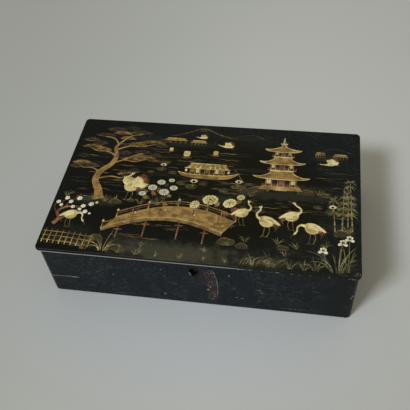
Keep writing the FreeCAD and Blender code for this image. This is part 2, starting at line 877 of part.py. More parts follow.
rectangle(
    dropper_seat,
    f"{DROPPER_LEFT} - seat_play",
    f"{DROPPER_RIGHT} + seat_play",
    f"{DROPPER_NEAR} - seat_play",
    f"{DROPPER_FAR} + seat_play",
)
pocket(seat_board, dropper_seat, "seat_thickness")
scoop = new_sketch(seat_board, "XY_Plane", SEAT_TOP)
circle(scoop, STONE_RIGHT, "stone_centre_deep", "finger_scoop")
pocket(seat_board, scoop, "seat_thickness")
parts.append(seat_board)

# Inkstone: a sloping land for grinding that runs down into a pond.
STONE_TOP = "(bottom_thickness + stone_height)"
inkstone, stone_pad = slab(
    "inkstone", STONE_LEFT, STONE_RIGHT, STONE_NEAR, STONE_FAR, "bottom_thickness", "stone_height"
)
stone_corners = fillet(inkstone, stone_pad, "stone_corner", upright)
fillet(inkstone, stone_corners, "stone_edge", level_at(STONE_TOP))
basin_sketch = new_sketch(inkstone, "XZ_Plane", f"-({STONE_NEAR} + stone_rim)")
land_right = f"{STONE_RIGHT} - stone_rim"
pond_right = f"{land_right} - land_share - slope_run"
outline(
    basin_sketch,
    [
        (land_right, STONE_TOP),
        (land_right, f"{STONE_TOP} - land_depth"),
        (f"{land_right} - land_share", f"{STONE_TOP} - land_end_depth"),
        (pond_right, f"{STONE_TOP} - pond_depth"),
        (f"{STONE_LEFT} + stone_rim", f"{STONE_TOP} - pond_depth"),
        (f"{STONE_LEFT} + stone_rim", STONE_TOP),
    ],
)
basin = pocket(inkstone, basin_sketch, "stone_width - 2 * stone_rim")


def basin_corner(box):
    """Test for the upright edges at the four corners of the basin."""
    inside = size(f"{STONE_LEFT} + stone_corner") < box.XMin < size(f"{STONE_RIGHT} - stone_corner")
    return upright(box) and inside and abs(box.ZMax - size(STONE_TOP)) < 1e-6


basin_corners = fillet(inkstone, basin, "basin_corner", basin_corner)
pond_floor = level_at(f"{STONE_TOP} - pond_depth")
fillet(inkstone, basin_corners, "basin_floor_round", pond_floor)
parts.append(inkstone)

# Water dropper: a small hollow vessel with an air hole in the middle and a spout hole at one corner.
dropper_outside, dropper_pad = slab(
    "dropper_outside",
    DROPPER_LEFT,
    DROPPER_RIGHT,
    DROPPER_NEAR,
    DROPPER_FAR,
    "bottom_thickness",
    "dropper_height",
)
dropper_corners = fillet(dropper_outside, dropper_pad, "dropper_corner", upright)
DROPPER_TOP = "(bottom_thickness + dropper_height)"
fillet(dropper_outside, dropper_corners, "dropper_shoulder", level_at(DROPPER_TOP))
cavity, cavity_pad = slab(
    "dropper_cavity",
    f"{DROPPER_LEFT} + dropper_wall",
    f"{DROPPER_RIGHT} - dropper_wall",
    f"{DROPPER_NEAR} + dropper_wall",
    f"{DROPPER_FAR} - dropper_wall",
    "bottom_thickness + dropper_wall",
    "dropper_height - 2 * dropper_wall",
)
fillet(cavity, cavity_pad, "dropper_corner - dropper_wall", upright)
dropper_holes = [
    rod(
        f"dropper_hole_{number}",
        "dropper_hole",
        "2 * dropper_wall",
        (
            f"dropper_centre_across - {number} * dropper_spout_out",
            f"dropper_centre_deep - {number} * dropper_spout_out",
            f"{DROPPER_TOP} - 1.5 * dropper_wall",
        ),
        "+Z",
    )
    for number in (0, 1)
]
parts.append(cut("water_dropper", dropper_outside, cavity, *dropper_holes))

# Ink stick: a bar with softened edges and a sunk panel on its face.
STICK_TOP = f"({SEAT_TOP} + stick_height)"
ink_stick, stick_pad = slab(
    "ink_stick",
    "stick_centre_across - stick_length / 2",
    "stick_centre_across + stick_length / 2",
    "stick_centre_deep - stick_width / 2",
    "stick_centre_deep + stick_width / 2",
    SEAT_TOP,
    "stick_height",
)
stick_corners = fillet(ink_stick, stick_pad, "2 * stick_edge", upright)
fillet(ink_stick, stick_corners, "stick_edge", level_at(STICK_TOP))
panel = new_sketch(ink_stick, "XY_Plane", STICK_TOP)
rectangle(
    panel,
    "stick_centre_across - stick_length / 2 + stick_panel_margin",
    "stick_centre_across + stick_length / 2 - stick_panel_margin",
    "stick_centre_deep - stick_width / 2 + stick_panel_margin",
    "stick_centre_deep + stick_width / 2 - stick_panel_margin",
)
pocket(ink_stick, panel, "stick_panel_depth")
parts.append(ink_stick)

# Brush tray: a floor, two long rails, two ends, and two scalloped rests.
parts.append(
    block(
        "tray_floor_board",
        (f"-{TRAY_HALF}", TRAY_FRONT, SEAT_TOP),
        (TRAY_HALF, TRAY_BACK, TRAY_FLOOR_TOP),
    )
)
rail_spans = {
    "tray_rail_front": (TRAY_FRONT, f"{TRAY_FRONT} + tray_wall"),
    "tray_rail_back": (f"{TRAY_BACK} - tray_wall", TRAY_BACK),
}
for name, (near, far) in rail_spans.items():
    parts.append(block(name, (f"-{TRAY_HALF}", near, TRAY_FLOOR_TOP), (TRAY_HALF, far, TRAY_TOP)))
for side in (-1, 1):
    near, far = sorted((f"{side} * {TRAY_HALF}", f"{side} * ({TRAY_HALF} - tray_wall)"), key=size)
    parts.append(
        block(
            "tray_end_" + hinge_side(side),
            (near, f"{TRAY_FRONT} + tray_wall", TRAY_FLOOR_TOP),
            (far, f"{TRAY_BACK} - tray_wall", TRAY_TOP),
        )
    )
REST_TOP = f"({TRAY_FLOOR_TOP} + rest_height)"
LANE_MIDDLE = f"(({TRAY_FRONT} + {TRAY_BACK}) / 2)"
LANES = {
    "large": (f"({LANE_MIDDLE} - lane_spacing)", "large_handle"),
    "small": (LANE_MIDDLE, "small_handle"),
    "spare": (f"({LANE_MIDDLE} + lane_spacing)", "large_handle"),
}
for place_name in ("rest_left", "rest_right"):
    rest = new_body("brush_" + place_name)
    rest_near = f"{place_name} - rest_thickness / 2"
    rest_sketch = new_sketch(rest, "YZ_Plane", rest_near)
    rectangle(
        rest_sketch,
        f"{TRAY_FRONT} + tray_wall",
        f"{TRAY_BACK} - tray_wall",
        TRAY_FLOOR_TOP,
        REST_TOP,
    )
    pad(rest, rest_sketch, "rest_thickness")
    for deep, handle in LANES.values():
        lane = new_sketch(rest, "YZ_Plane", rest_near)
        circle(lane, deep, f"{REST_TOP} + lane_rise", f"{handle} + lane_play")
        pocket(rest, lane, "rest_thickness", reverse=True)
    parts.append(rest)


# Brushes: a turned bamboo handle with a swelled socket, and a hair tip with a full belly.
def turning(name, up, points):
    """A body turned about the last line of its half outline."""
    body = new_body(name)
    profile = new_sketch(body, "XY_Plane", up)
    outline(profile, points)
    turned = body.newObject("PartDesign::Revolution", name + "_turning")
    turned.Profile = profile
    turned.ReferenceAxis = (profile, [f"Edge{len(points)}"])
    turned.Angle = 360
    profile.Visibility = False
    doc.recompute()
    return body


def brush(name, lane, handle, start):
    up = f"({REST_TOP} + lane_rise - lane_play + rest_gap)"
    far = f"{start} + handle_length"
    handle_points = [
        (start, lane),
        (start, f"{lane} + {handle} - handle_chamfer"),
        (f"{start} + handle_chamfer", f"{lane} + {handle}"),
        (f"{far} - socket_length", f"{lane} + {handle}"),
        (f"{far} - socket_swell", f"{lane} + {handle} + socket_swell"),
        (far, f"{lane} + {handle}"),
        (far, lane),
    ]
    parts.append(turning(f"brush_handle_{name}", up, handle_points))
    bands = int(size("tip_bands"))
    tip_points = [(far, lane)]
    for number in range(bands + 1):
        share = f"({number} / tip_bands)"
        swell = f"(tip_root + tip_belly * {share} - (tip_root + tip_belly - tip_point) * {share} ^ 2)"
        tip_points.append((f"{far} + {share} * tip_length", f"{lane} + {handle} * {swell}"))
    tip_points.append((f"{far} + tip_length", lane))
    parts.append(turning(f"brush_tip_{name}", up, tip_points))


brush("large", *LANES["large"], "handle_start")
brush("small", *LANES["small"], "(handle_start + socket_length)")

# Every piece is checked before anything is written.
doc.recompute()
failed = [item.Name for item in doc.Objects if set(item.State) & {"Invalid", "Error"}]
if failed:
    raise RuntimeError(f"these objects failed: {failed}")
for part in parts:
    if part.Shape.isNull() or not part.Shape.isValid() or part.Shape.Volume <= 0:
        raise RuntimeError(f"{part.Label} has no sound shape")
for part in parts:
    part.Shape.exportStep(f"parts/{part.Label}.step")
print(len(parts), "sub-parts written")
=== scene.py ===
# %% [markdown]
# A black lacquered writing box with a gold picture on its lid.
#
# The wooden boards, the hinges, the lock and the writing things inside are already modelled and
# come in as a fixed frame. This lesson gives every surface its finish, and adds what a lacquerer
# adds by hand: the raised gold picture, the rubbed edges and the old damage.

# %% Load the frame and measure it
import json
import math
import random

import bmesh
import bpy
from mathutils import Matrix, Vector


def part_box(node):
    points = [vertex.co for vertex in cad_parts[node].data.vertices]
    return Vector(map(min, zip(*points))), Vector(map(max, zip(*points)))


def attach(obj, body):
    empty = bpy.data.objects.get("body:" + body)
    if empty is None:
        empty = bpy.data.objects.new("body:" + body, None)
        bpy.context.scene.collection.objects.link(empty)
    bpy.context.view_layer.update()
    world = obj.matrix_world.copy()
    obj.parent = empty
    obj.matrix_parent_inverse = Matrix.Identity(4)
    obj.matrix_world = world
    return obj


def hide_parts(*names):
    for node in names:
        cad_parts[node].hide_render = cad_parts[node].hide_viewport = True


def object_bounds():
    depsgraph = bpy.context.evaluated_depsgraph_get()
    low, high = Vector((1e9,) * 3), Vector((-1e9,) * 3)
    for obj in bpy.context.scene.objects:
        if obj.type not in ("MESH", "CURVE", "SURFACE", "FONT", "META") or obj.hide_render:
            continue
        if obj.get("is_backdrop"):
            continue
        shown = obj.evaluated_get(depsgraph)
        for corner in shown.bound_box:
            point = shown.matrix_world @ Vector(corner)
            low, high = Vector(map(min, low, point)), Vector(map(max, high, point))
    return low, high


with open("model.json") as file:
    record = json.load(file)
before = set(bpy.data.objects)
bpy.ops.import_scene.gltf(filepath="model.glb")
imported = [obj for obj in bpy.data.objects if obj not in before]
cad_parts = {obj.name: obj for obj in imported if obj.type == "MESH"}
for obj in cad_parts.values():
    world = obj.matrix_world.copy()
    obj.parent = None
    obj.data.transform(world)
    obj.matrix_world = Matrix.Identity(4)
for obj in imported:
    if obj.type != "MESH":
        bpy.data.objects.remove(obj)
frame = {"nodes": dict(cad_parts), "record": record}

frame_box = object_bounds()
MM = 0.001
LID_LOW, LID_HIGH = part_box("lid_board")
LID_TOP = LID_HIGH.z
SEAM = LID_LOW.z
CASE_HALF_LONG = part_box("right_board")[1].x
CASE_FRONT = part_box("front_board")[0].y
print("the box is", [round(value / MM, 1) for value in frame_box[1] - frame_box[0]], "mm overall")

# %% [markdown]
# The camera looks down on the front from a little to the right, and is turned slightly, as a
# picture taken by hand is. A camera's place can be found by trial, but with a box it is simpler to
# solve it from its straight edges: the numbers below put every corner of the lid and of the foot
# on the corners in the picture, to within about two pixels.

# %% Camera
PICTURE_SIDE = 410
FOCAL_PIXELS = 602.0
CAMERA_AZIMUTH = math.radians(13.03)
CAMERA_ELEVATION = math.radians(49.64)
CAMERA_ROLL = math.radians(-5.58)
CAMERA_DISTANCE = 545.5 * MM
CAMERA_AIM = Vector((-9.92, 31.73, 0.0)) * MM

back = Vector((
    math.sin(CAMERA_AZIMUTH) * math.cos(CAMERA_ELEVATION),
    -math.cos(CAMERA_AZIMUTH) * math.cos(CAMERA_ELEVATION),
    math.sin(CAMERA_ELEVATION),
))
level = Vector((math.cos(CAMERA_AZIMUTH), math.sin(CAMERA_AZIMUTH), 0.0))
right = math.cos(CAMERA_ROLL) * level + math.sin(CAMERA_ROLL) * back.cross(level)
bpy.ops.object.camera_add()
camera = bpy.context.object
camera.matrix_world = Matrix.Translation(CAMERA_AIM + back * CAMERA_DISTANCE) @ Matrix(
    (right, back.cross(right), back)
).transposed().to_4x4()
camera.data.sensor_width = 36.0
camera.data.lens = FOCAL_PIXELS / PICTURE_SIDE * camera.data.sensor_width
camera.data.clip_start = 0.01
bpy.context.scene.camera = camera
print("lens", round(camera.data.lens, 1), "mm at", [round(v, 3) for v in camera.location], "m")

# %% [markdown]
# Materials are built from nodes. Written out in full, a node tree is long and hard to read, so a
# few helpers make it read like a sum. `Wire` is the output of a node, and the signs + - * between
# wires and numbers add Math nodes. `begin` opens a new material, the helpers add to whatever is
# open, and `complete` plugs the colour, roughness and relief into its shader. `shared` builds a
# node group from a recipe, for an effect that several finishes use.

# %% Helpers for nodes
class Wire:
    """A node's output."""

    def __init__(self, socket):
        self.socket = socket

    def __add__(self, other):
        return maths("ADD", self, other)

    def __sub__(self, other):
        return maths("SUBTRACT", self, other)

    def __rsub__(self, other):
        return maths("SUBTRACT", other, self)

    def __mul__(self, other):
        return maths("MULTIPLY", self, other)

    __radd__, __rmul__ = __add__, __mul__


class Open:
    """What is being built now."""
    tree = material = None


def connect(value, socket):
    """Links a wire to a socket, or sets a plain value on it."""
    if isinstance(value, Wire):
        Open.tree.links.new(value.socket, socket)
    else:
        socket.default_value = value


def add(kind, inputs, result=0, **settings):
    """Adds a node and gives one of its outputs, or all of them for result None."""
    node = Open.tree.nodes.new(kind)
    for key, value in settings.items():
        setattr(node, key, value)
    for key, value in inputs.items():
        connect(value, node.inputs[key])
    return [Wire(socket) for socket in node.outputs] if result is None else Wire(node.outputs[result])


def maths(operation, first, second=0.0, clamp=False):
    return add("ShaderNodeMath", {0: first, 1: second}, operation=operation, use_clamp=clamp)


def vector(operation, first, second):
    return add("ShaderNodeVectorMath", {0: first, 1: second}, operation=operation)


def length(place):
    return add("ShaderNodeVectorMath", {0: place}, "Value", operation="LENGTH")


def split(place):
    return add("ShaderNodeSeparateXYZ", {0: place}, None)


def ramp(value, start, end, low=0.0, high=1.0):
    """Turns a value smoothly from low at start to high at end."""
    sockets = {"Value": value, "From Min": start, "From Max": end, "To Min": low, "To Max": high}
    return add("ShaderNodeMapRange", sockets, interpolation_type="SMOOTHSTEP")


def noise(place, scale, detail, roughness=0.5):
    sockets = {"Vector": place, "Scale": scale, "Detail": detail, "Roughness": roughness}
    return add("ShaderNodeTexNoise", sockets)


def blend(share, first, second, way="MIX"):
    """Mixes two colours by a share from 0 to 1."""
    return add("ShaderNodeMix", {0: share, 6: first, 7: second}, 2, data_type="RGBA", blend_type=way)


def begin(name, **constants):
    """Opens a material, sets plain numbers straight on its shader, and gives the place on the object."""
    Open.material = bpy.data.materials.new(name)
    Open.material.use_nodes = True
    Open.tree = Open.material.node_tree
    for key, value in constants.items():
        Open.tree.nodes["Principled BSDF"].inputs[key.replace("_", " ")].default_value = value
    return add("ShaderNodeTexCoord", {}, "Object")


def complete(colour, rough=None, height=None, strength=0.2, depth=0.05):
    """Plugs in the colour, the roughness and the relief, with its depth in mm, and gives the material."""
    sockets = Open.tree.nodes["Principled BSDF"].inputs
    connect(colour, sockets["Base Color"])
    if rough is not None:
        connect(rough, sockets["Roughness"])
    if height is not None:
        bump = add("ShaderNodeBump", {"Strength": strength, "Distance": depth * MM, "Height": height})
        connect(bump, sockets["Normal"])
    return Open.material


SOCKETS = {float: "NodeSocketFloat", 3: "NodeSocketVector", 4: "NodeSocketColor"}


def socket_kind(value):
    return SOCKETS[float] if isinstance(value, float) else SOCKETS[len(value)]


def shared(name, inputs, outputs, recipe):
    """A node group: the recipe turns its inputs, given as wires, into its outputs."""
    Open.tree = group = bpy.data.node_groups.new(name, "ShaderNodeTree")
    for side, sockets in (("INPUT", inputs), ("OUTPUT", outputs)):
        for key, value in sockets.items():
            group.interface.new_socket(key, in_out=side, socket_type=socket_kind(value)).default_value = value
    given = [Wire(socket) for socket in group.nodes.new("NodeGroupInput").outputs][:len(inputs)]
    found = recipe(*given)
    result = group.nodes.new("NodeGroupOutput").inputs
    for value, socket in zip(found if isinstance(found, tuple) else (found,), result):
        connect(value, socket)

    def place_group(*values, result=0):
        return add("ShaderNodeGroup", dict(enumerate(values)), result, node_tree=group)
    return place_group


def from_screen(red, green, blue):
    """A colour read from a picture as 0-255 numbers, in the linear light that shaders use."""
    return tuple((((v / 255 + 0.055) / 1.055) ** 2.4 if v > 10 else v / 255 / 12.92)
                 for v in (red, green, blue)) + (1.0,)


# %% [markdown]
# The box stands on a pale grey sheet. Its shadow falls back and to the right with a fairly firm
# edge, so the light is one window of modest size, well in front on the left and high up. The
# shadow is still nearly half as bright as the sheet, and warmer, so the rest of the room gives
# almost as much light as the window, but yellower: that part comes from the world. How the light
# falls off over the sheet is painted into its colour. Painted shade makes it a little darker
# towards the back left, towards the sides and far in front, and a patch of painted cool light lies
# just in front of the box. Past its end, in views from low down, the camera sees the sheet's own
# grey, so the room has no visible far edge.

# %% Floor, lamps and world
SHEET_LIT_SIDE = from_screen(182, 184, 178)
SHEET_SHADED_SIDE = from_screen(166, 169, 164)
SHEET_PAINTED_FALLOFF = (
    # axis, middle and reach in metres (below zero: only on the near side), painted shade multiplied in
    (0, 0.02, 0.36, (0.80, 0.80, 0.78, 1.0)), (1, 0.05, -0.26, (0.85, 0.855, 0.85, 1.0)),
)
# Painted cool light on the sheet just in front of the box, where bounced light falls
PAINTED_COOL_LIGHT = (0.985, 1.01, 1.09, 1.0)
PAINTED_COOL_LIGHT_PLACE = (-0.01, -0.09, 0.0)
PAINTED_COOL_LIGHT_REACH = (0.20, 0.085, 1.0)
ROOM_COLOUR = (1.0, 0.93, 0.79, 1.0)
ROOM_LIGHT = 0.51
BEYOND_SHEET = from_screen(191, 192, 181)
WINDOW_PLACE = (-1.74, -2.30, 3.00)
WINDOW_SIDE = 0.95
WINDOW_POWER = 143.5
WINDOW_COLOUR = (0.85, 0.90, 1.0)

bpy.ops.object.light_add(type="AREA", location=WINDOW_PLACE)
window = bpy.context.object
window.name = "window"
window.data.shape = "SQUARE"
window.data.size = WINDOW_SIDE
window.data.energy = WINDOW_POWER
window.data.color = WINDOW_COLOUR
window.rotation_euler = (Vector((0, 0, 0.03)) - Vector(WINDOW_PLACE)).to_track_quat("-Z", "Y").to_euler()

bpy.ops.mesh.primitive_plane_add(size=6.0, location=(0, 0, 0))
floor = bpy.context.object
floor.name = "floor"
place = begin("pale_sheet", Roughness=0.9, Specular_IOR_Level=0.2)
x, y, _ = split(place)
# Painted shade: the sheet is darker towards the back left, with a faint random mottle
falloff_and_mottle = maths("ADD", ramp(x - y * 0.6, -0.32, 0.16), (noise(place, 6.0, 3.0) - 0.5) * 0.25, clamp=True)
colour = blend(falloff_and_mottle, SHEET_SHADED_SIDE, SHEET_LIT_SIDE)
for axis, middle, reach, tone in SHEET_PAINTED_FALLOFF:
    off = maths("ABSOLUTE", (x, y)[axis] - middle) if reach > 0 else middle - (x, y)[axis]
    colour = blend(ramp(off, 0.0, abs(reach)), colour, blend(1.0, colour, tone, "MULTIPLY"))
# Painted cool light just in front of the box
away = vector("DIVIDE", vector("SUBTRACT", place, PAINTED_COOL_LIGHT_PLACE), PAINTED_COOL_LIGHT_REACH)
colour = blend(ramp(length(away), 1.0, 0.25), colour, blend(1.0, colour, PAINTED_COOL_LIGHT, "MULTIPLY"))
floor.data.materials.append(complete(colour))
floor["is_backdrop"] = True

world = bpy.data.worlds.new("room")
bpy.context.scene.world = world
world.use_nodes = True
Open.tree = world.node_tree
background = Open.tree.nodes["Background"].inputs
seen = add("ShaderNodeLightPath", {}, "Is Camera Ray")
connect(blend(seen, ROOM_COLOUR, BEYOND_SHEET), background["Color"])
background["Strength"].default_value = ROOM_LIGHT
bpy.context.scene.view_settings.view_transform = "Standard"
print("window", round(math.degrees(math.atan2(WINDOW_PLACE[2], math.hypot(*WINDOW_PLACE[:2])))), "degrees up")

# %% [markdown]
# Old lacquer and old metal share a few effects, and each is built once as a node group. Corners
# are rubbed by hands and by what stands next to them: `edge_rub` finds how near a point is to an
# edge of a board, which needs only the board's lowest and highest corner. `specks` scatters dust
# and pinholes with a Voronoi pattern that keeps some of its cells. `hairlines` draws the fine
# scratches of wiping, as the thin places where a stretched noise crosses its middle value.
# `clouding` is the slow uneven tone that polishing and age leave.

# %% Shared effects
ORIGIN = (0.0, 0.0, 0.0)
clouding = shared("clouding", {"Place": ORIGIN, "Scale": 20.0, "Start": 0.4, "End": 0.6}, {"Amount": 0.0},
                  lambda place, scale, start, end: ramp(noise(place, scale, 5.0), start, end))


def find_edges(place, lowest, highest, width, raggedness):
    nearest = vector("MINIMUM", vector("SUBTRACT", place, lowest), vector("SUBTRACT", highest, place))
    x, y, z = split(nearest)
    second = maths("MAXIMUM", maths("MINIMUM", x, y), maths("MINIMUM", maths("MAXIMUM", x, y), z))
    pull = (noise(place, 160.0, 6.0) - 0.5) * raggedness
    width = width * maths("MAXIMUM", pull * 5.0 + 1.0, 0.05)
    return ramp(second, width, width * 0.35)


edge_rub = shared(
    "edge_rub",
    {"Place": ORIGIN, "Lowest": ORIGIN, "Highest": ORIGIN, "Width": 0.001, "Raggedness": 1.0},
    {"Amount": 0.0},
    find_edges,
)


def scatter_specks(place, scale, size, share):
    distance, chosen, _, _, _ = add("ShaderNodeTexVoronoi", {"Vector": place, "Scale": scale}, None)
    chance, girth, _ = add("ShaderNodeSeparateColor", {0: chosen}, None)
    size = size * (girth + 0.35)
    return ramp(distance, size, size * 0.5) * maths("LESS_THAN", chance, share)


specks = shared(
    "specks", {"Place": ORIGIN, "Scale": 100.0, "Size": 0.2, "Share": 0.3}, {"Amount": 0.0}, scatter_specks,
)


def draw_hairlines(place, turn, stretch, width):
    turned = add("ShaderNodeMapping", {"Vector": place, "Rotation": turn})
    off = maths("ABSOLUTE", noise(vector("MULTIPLY", turned, stretch), 1.0, 1.0) - 0.5)
    return ramp(off, width, 0.0) * ramp(noise(place, 45.0, 2.0), 0.52, 0.62)


hairlines = shared(
    "hairlines",
    {"Place": ORIGIN, "Turn": ORIGIN, "Stretch": (12.0, 300.0, 300.0), "Width": 0.006},
    {"Amount": 0.0},
    draw_hairlines,
)
print("shared effects:", ", ".join(group.name for group in bpy.data.node_groups))

# %% [markdown]
# Black lacquer is many thin coats over cloth and clay on wood. It is nearly black with a cold
# tinge, satin rather than mirror-bright after a century of handling, and it shows a slow ripple
# from the brush. Where it wears, the edges go brown first, because the coats under the black are
# coloured with soot and red earth, and then the pale clay ground shows. One function paints this
# for every board, and takes the board's own corners for the rub along its edges. On the inner
# faces, which hands don't rub, the maker sprinkled fine gold flakes under the last clear coat.

# %% Lacquer for the boards
CASE_BLACK = ((0.0003, 0.0024, 0.0048, 1.0), (0.0022, 0.0046, 0.0066, 1.0))
LID_BLACK = ((0.0024, 0.0050, 0.0046, 1.0), (0.0056, 0.0060, 0.0036, 1.0))
FLAKE_GOLD = (0.34, 0.22, 0.075, 1.0)
UNDERCOAT = from_screen(84, 58, 44)
CLAY_GROUND = from_screen(150, 146, 134)
DUST = from_screen(150, 152, 150)


def lacquer(name, low, high, rub_width=0.5, raggedness=1.0, clay=0.5, dusty=0.5, black=CASE_BLACK,
            gloss=0.15):
    """Opens a black lacquer for one board: its place, its colour so far, and what completes it."""
    place = begin(name, Specular_IOR_Level=gloss, IOR=1.5)
    slow = clouding(place, 12.0, 0.38, 0.64)
    scratched = maths("MAXIMUM", hairlines(place, (0.0, 0.0, 0.4)),
                      hairlines(place, (0.2, 0.3, 1.9), (12.0, 300.0, 300.0), 0.004))
    colour = blend(scratched * 0.05, blend(slow, *black), DUST)
    dots = specks(place, 420.0, 0.20, 0.22) * (0.035 * dusty)
    dots = dots + specks(place, 85.0, 0.055, 0.30) * (0.25 * dusty)
    film = ramp(noise(place, 520.0, 6.0, 0.75), 0.44, 0.66) * (clouding(place, 60.0, 0.40, 0.70) + 0.3)
    colour = blend(film * (0.085 * dusty), blend(dots, colour, DUST), DUST)
    worn = edge_rub(place, low, high, rub_width * MM, raggedness)
    patch = worn * clouding(place, 230.0, 0.46, 0.62)
    colour = blend(patch * clay, blend(worn * 0.75, colour, UNDERCOAT), CLAY_GROUND)
    rough = maths("ADD", ramp(slow, 0.0, 1.0, 0.36, 0.46),
                  maths("MAXIMUM", worn, scratched) * 0.25, clamp=True)
    height = noise(place, 120.0, 3.0) - patch * 1.5 - scratched * 0.4
    return place, colour, (rough, height, 0.10, 0.3)


def sprinkle(place, colour, amount):
    """Adds gold flakes under a clear coat."""
    flakes = specks(place, 1250.0, 0.48, 0.30) * ramp(clouding(place, 22.0, 0.36, 0.66), 0.0, 1.0, 0.25, 1.0)
    return blend(flakes * amount, colour, FLAKE_GOLD)


case_low = Vector((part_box("left_board")[0].x, CASE_FRONT, 0.0))
case_high = Vector((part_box("right_board")[1].x, -CASE_FRONT, SEAM))
INNER_HALF = (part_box("right_board")[0].x + 0.2 * MM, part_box("back_board")[0].y + 0.2 * MM)


def inner_faces(place, colour):
    """The black with gold flakes on the faces that look into the case."""
    x, y, _ = split(place)
    inside = [maths("LESS_THAN", maths("ABSOLUTE", value), half) for value, half in zip((x, y), INNER_HALF)]
    return blend(inside[0] * inside[1], colour, sprinkle(place, LID_BLACK[0], 0.5))


place, colour, rest = lacquer("case_lacquer", case_low, case_high, 0.55, 1.2, 0.45)
case_lacquer = complete(inner_faces(place, colour), *rest)
place, colour, rest = lacquer("inner_lacquer", case_low, case_high, 0.1, 0.5, 0.1, 0.3, LID_BLACK)
inner_lacquer = complete(sprinkle(place, colour, 0.6), *rest)
print("case from", [round(v / MM, 1) for v in case_low], "to", [round(v / MM, 1) for v in case_high], "mm")

# %% [markdown]
# The front of the case takes most knocks, so it has a few pinholes, where the lacquer has sprung
# off down to the clay. Each is a small round place on the board, given in millimetres from its
# middle with its radius, and a faint brown smear lies to the right of the keyhole, where keys have
# rubbed. The right end is browner. The larger damage is modelled later, as thin pieces.

# %% Lacquer of the front
PINHOLES = (
    # x, z, radius in mm
    (-25.2, 43.9, 0.6), (-25.2, 10.8, 0.6), (26.4, 43.6, 0.75), (-64.0, 31.0, 0.55), (-23.0, 35.4, 0.45),
    (88.0, 38.5, 0.45),
)
SMEAR_PLACE, SMEAR_REACH = (6.0, 0.0, 36.0), (11.0, 1.0, 22.0)
BROWN_END = (0.0016, 0.0030, 0.0024, 1.0)

place, colour, rest = lacquer("front_lacquer", case_low, case_high, 0.5, 1.2, 0.45, 1.0)
x, y, z = split(vector("DIVIDE", place, (MM, MM, MM)))
on_front = maths("LESS_THAN", y, CASE_FRONT / MM + 0.5)
flat = add("ShaderNodeCombineXYZ", {"X": x, "Z": z})
away = length(vector("DIVIDE", vector("SUBTRACT", flat, SMEAR_PLACE), SMEAR_REACH))
smeared = ramp(away, 1.0, 0.2) * clouding(place, 330.0, 0.38, 0.66) * on_front
colour = blend(smeared * 0.30, colour, from_screen(62, 54, 52))
for hole_x, hole_z, radius in PINHOLES:
    far = length(vector("SUBTRACT", flat, (hole_x, 0.0, hole_z)))
    colour = blend(ramp(far, radius * 1.3, radius * 0.5) * on_front * 0.6, colour, CLAY_GROUND)
colour = blend(ramp(x, 60.0, 118.0, 0.0, 0.75), colour, BROWN_END)
front_lacquer = complete(inner_faces(place, colour), *rest)
print("front:", len(PINHOLES), "pinholes and one smear")

# %% [markdown]
# The lid has the most wear. Its lower front edge is where fingers lift it, so there the lacquer
# is gone in a pale line that runs from the left corner to past the keyhole and then breaks up
# into a few dots. The line is also a painted highlight of the window on the rounded edge, so it is
# paler than the bared ground. The ground of the picture is also part of this finish: before the
# raised work is laid on, fine gold powder is sifted over the wet lacquer to make the banks, mist
# and far hills. Sifted powder has no edge, so it is a soft oval of fine grains painted by place,
# and not a shape. Stray grains make the black warmer where the picture lies than along the rim.
# The underside has the same flakes as the inside of the case.

# %% Lacquer of the lid, with its sifted banks
BANKS = (
    # middle x, y and half size in mm, strength
    (-12, -66, 56, 11, 0.95), (-40, -61, 30, 8, 0.6), (58, -67, 30, 5, 0.35), (-96, -56, 22, 10, 0.22),
    (-86, -23, 22, 5, 0.45), (60, -3, 52, 6, 0.50), (16, -12, 26, 6, 0.5), (66, 6, 34, 5, 0.55),
    (-20, 47, 34, 4.5, 0.30), (-52, 52, 22, 4, 0.25), (96, 40, 16, 4, 0.28), (30, 22, 30, 2.6, 0.28),
    (-30, 12, 26, 2.4, 0.24), (-70, 2, 30, 2.6, 0.28), (20, 58, 26, 3.2, 0.22), (104, -30, 12, 4, 0.35),
)
SIFTED = from_screen(50, 51, 38)
SIFTED_BRIGHT = from_screen(68, 66, 50)
WORN_LINE_AND_HIGHLIGHT = from_screen(178, 176, 168)
PAINTED_SHADE_BLACK = (0.0006, 0.0006, 0.0004, 1.0)
WARM_BLACK = (0.0032, 0.0029, 0.0001, 1.0)
PICTURE_REACH = (112.0, 62.0, 1.0)


def sift(place, middle, half_size, strength, before):
    reach = length(vector("DIVIDE", vector("SUBTRACT", place, middle), half_size))
    reach = reach + (noise(place, 0.16, 6.0) - 0.5) * 1.5
    return maths("MAXIMUM", before, ramp(reach, 1.25, 0.35) * strength)


sifted_bank = shared(
    "sifted_bank",
    {"Place": ORIGIN, "Middle": ORIGIN, "Half size": (10.0, 10.0, 10.0), "Strength": 0.5, "Before": 0.0},
    {"Amount": 0.0},
    sift,
)
place, colour, rest = lacquer("lid_lacquer", LID_LOW, LID_HIGH, 0.16, 1.3, 0.25, 0.6, LID_BLACK, 0.10)
in_mm = vector("DIVIDE", place, (MM, MM, MM))
x, y, z = split(in_mm)
flat = add("ShaderNodeCombineXYZ", {"X": x, "Y": y})
powder = 0.0
for middle_x, middle_y, half_x, half_y, strength in BANKS:
    powder = sifted_bank(flat, (middle_x, middle_y, 0), (half_x, half_y, 1.0), strength, powder)
on_top = ramp(z, LID_TOP / MM - 0.6, LID_TOP / MM - 0.2)
powder = powder * on_top
grainy = powder * ramp(specks(place, 2600.0, 0.62, 0.55), 0.0, 1.0, 0.62, 1.0)
heart = length(vector("DIVIDE", flat, PICTURE_REACH))
colour = blend(ramp(heart, 1.05, 0.70) * on_top * 0.9, colour, WARM_BLACK)
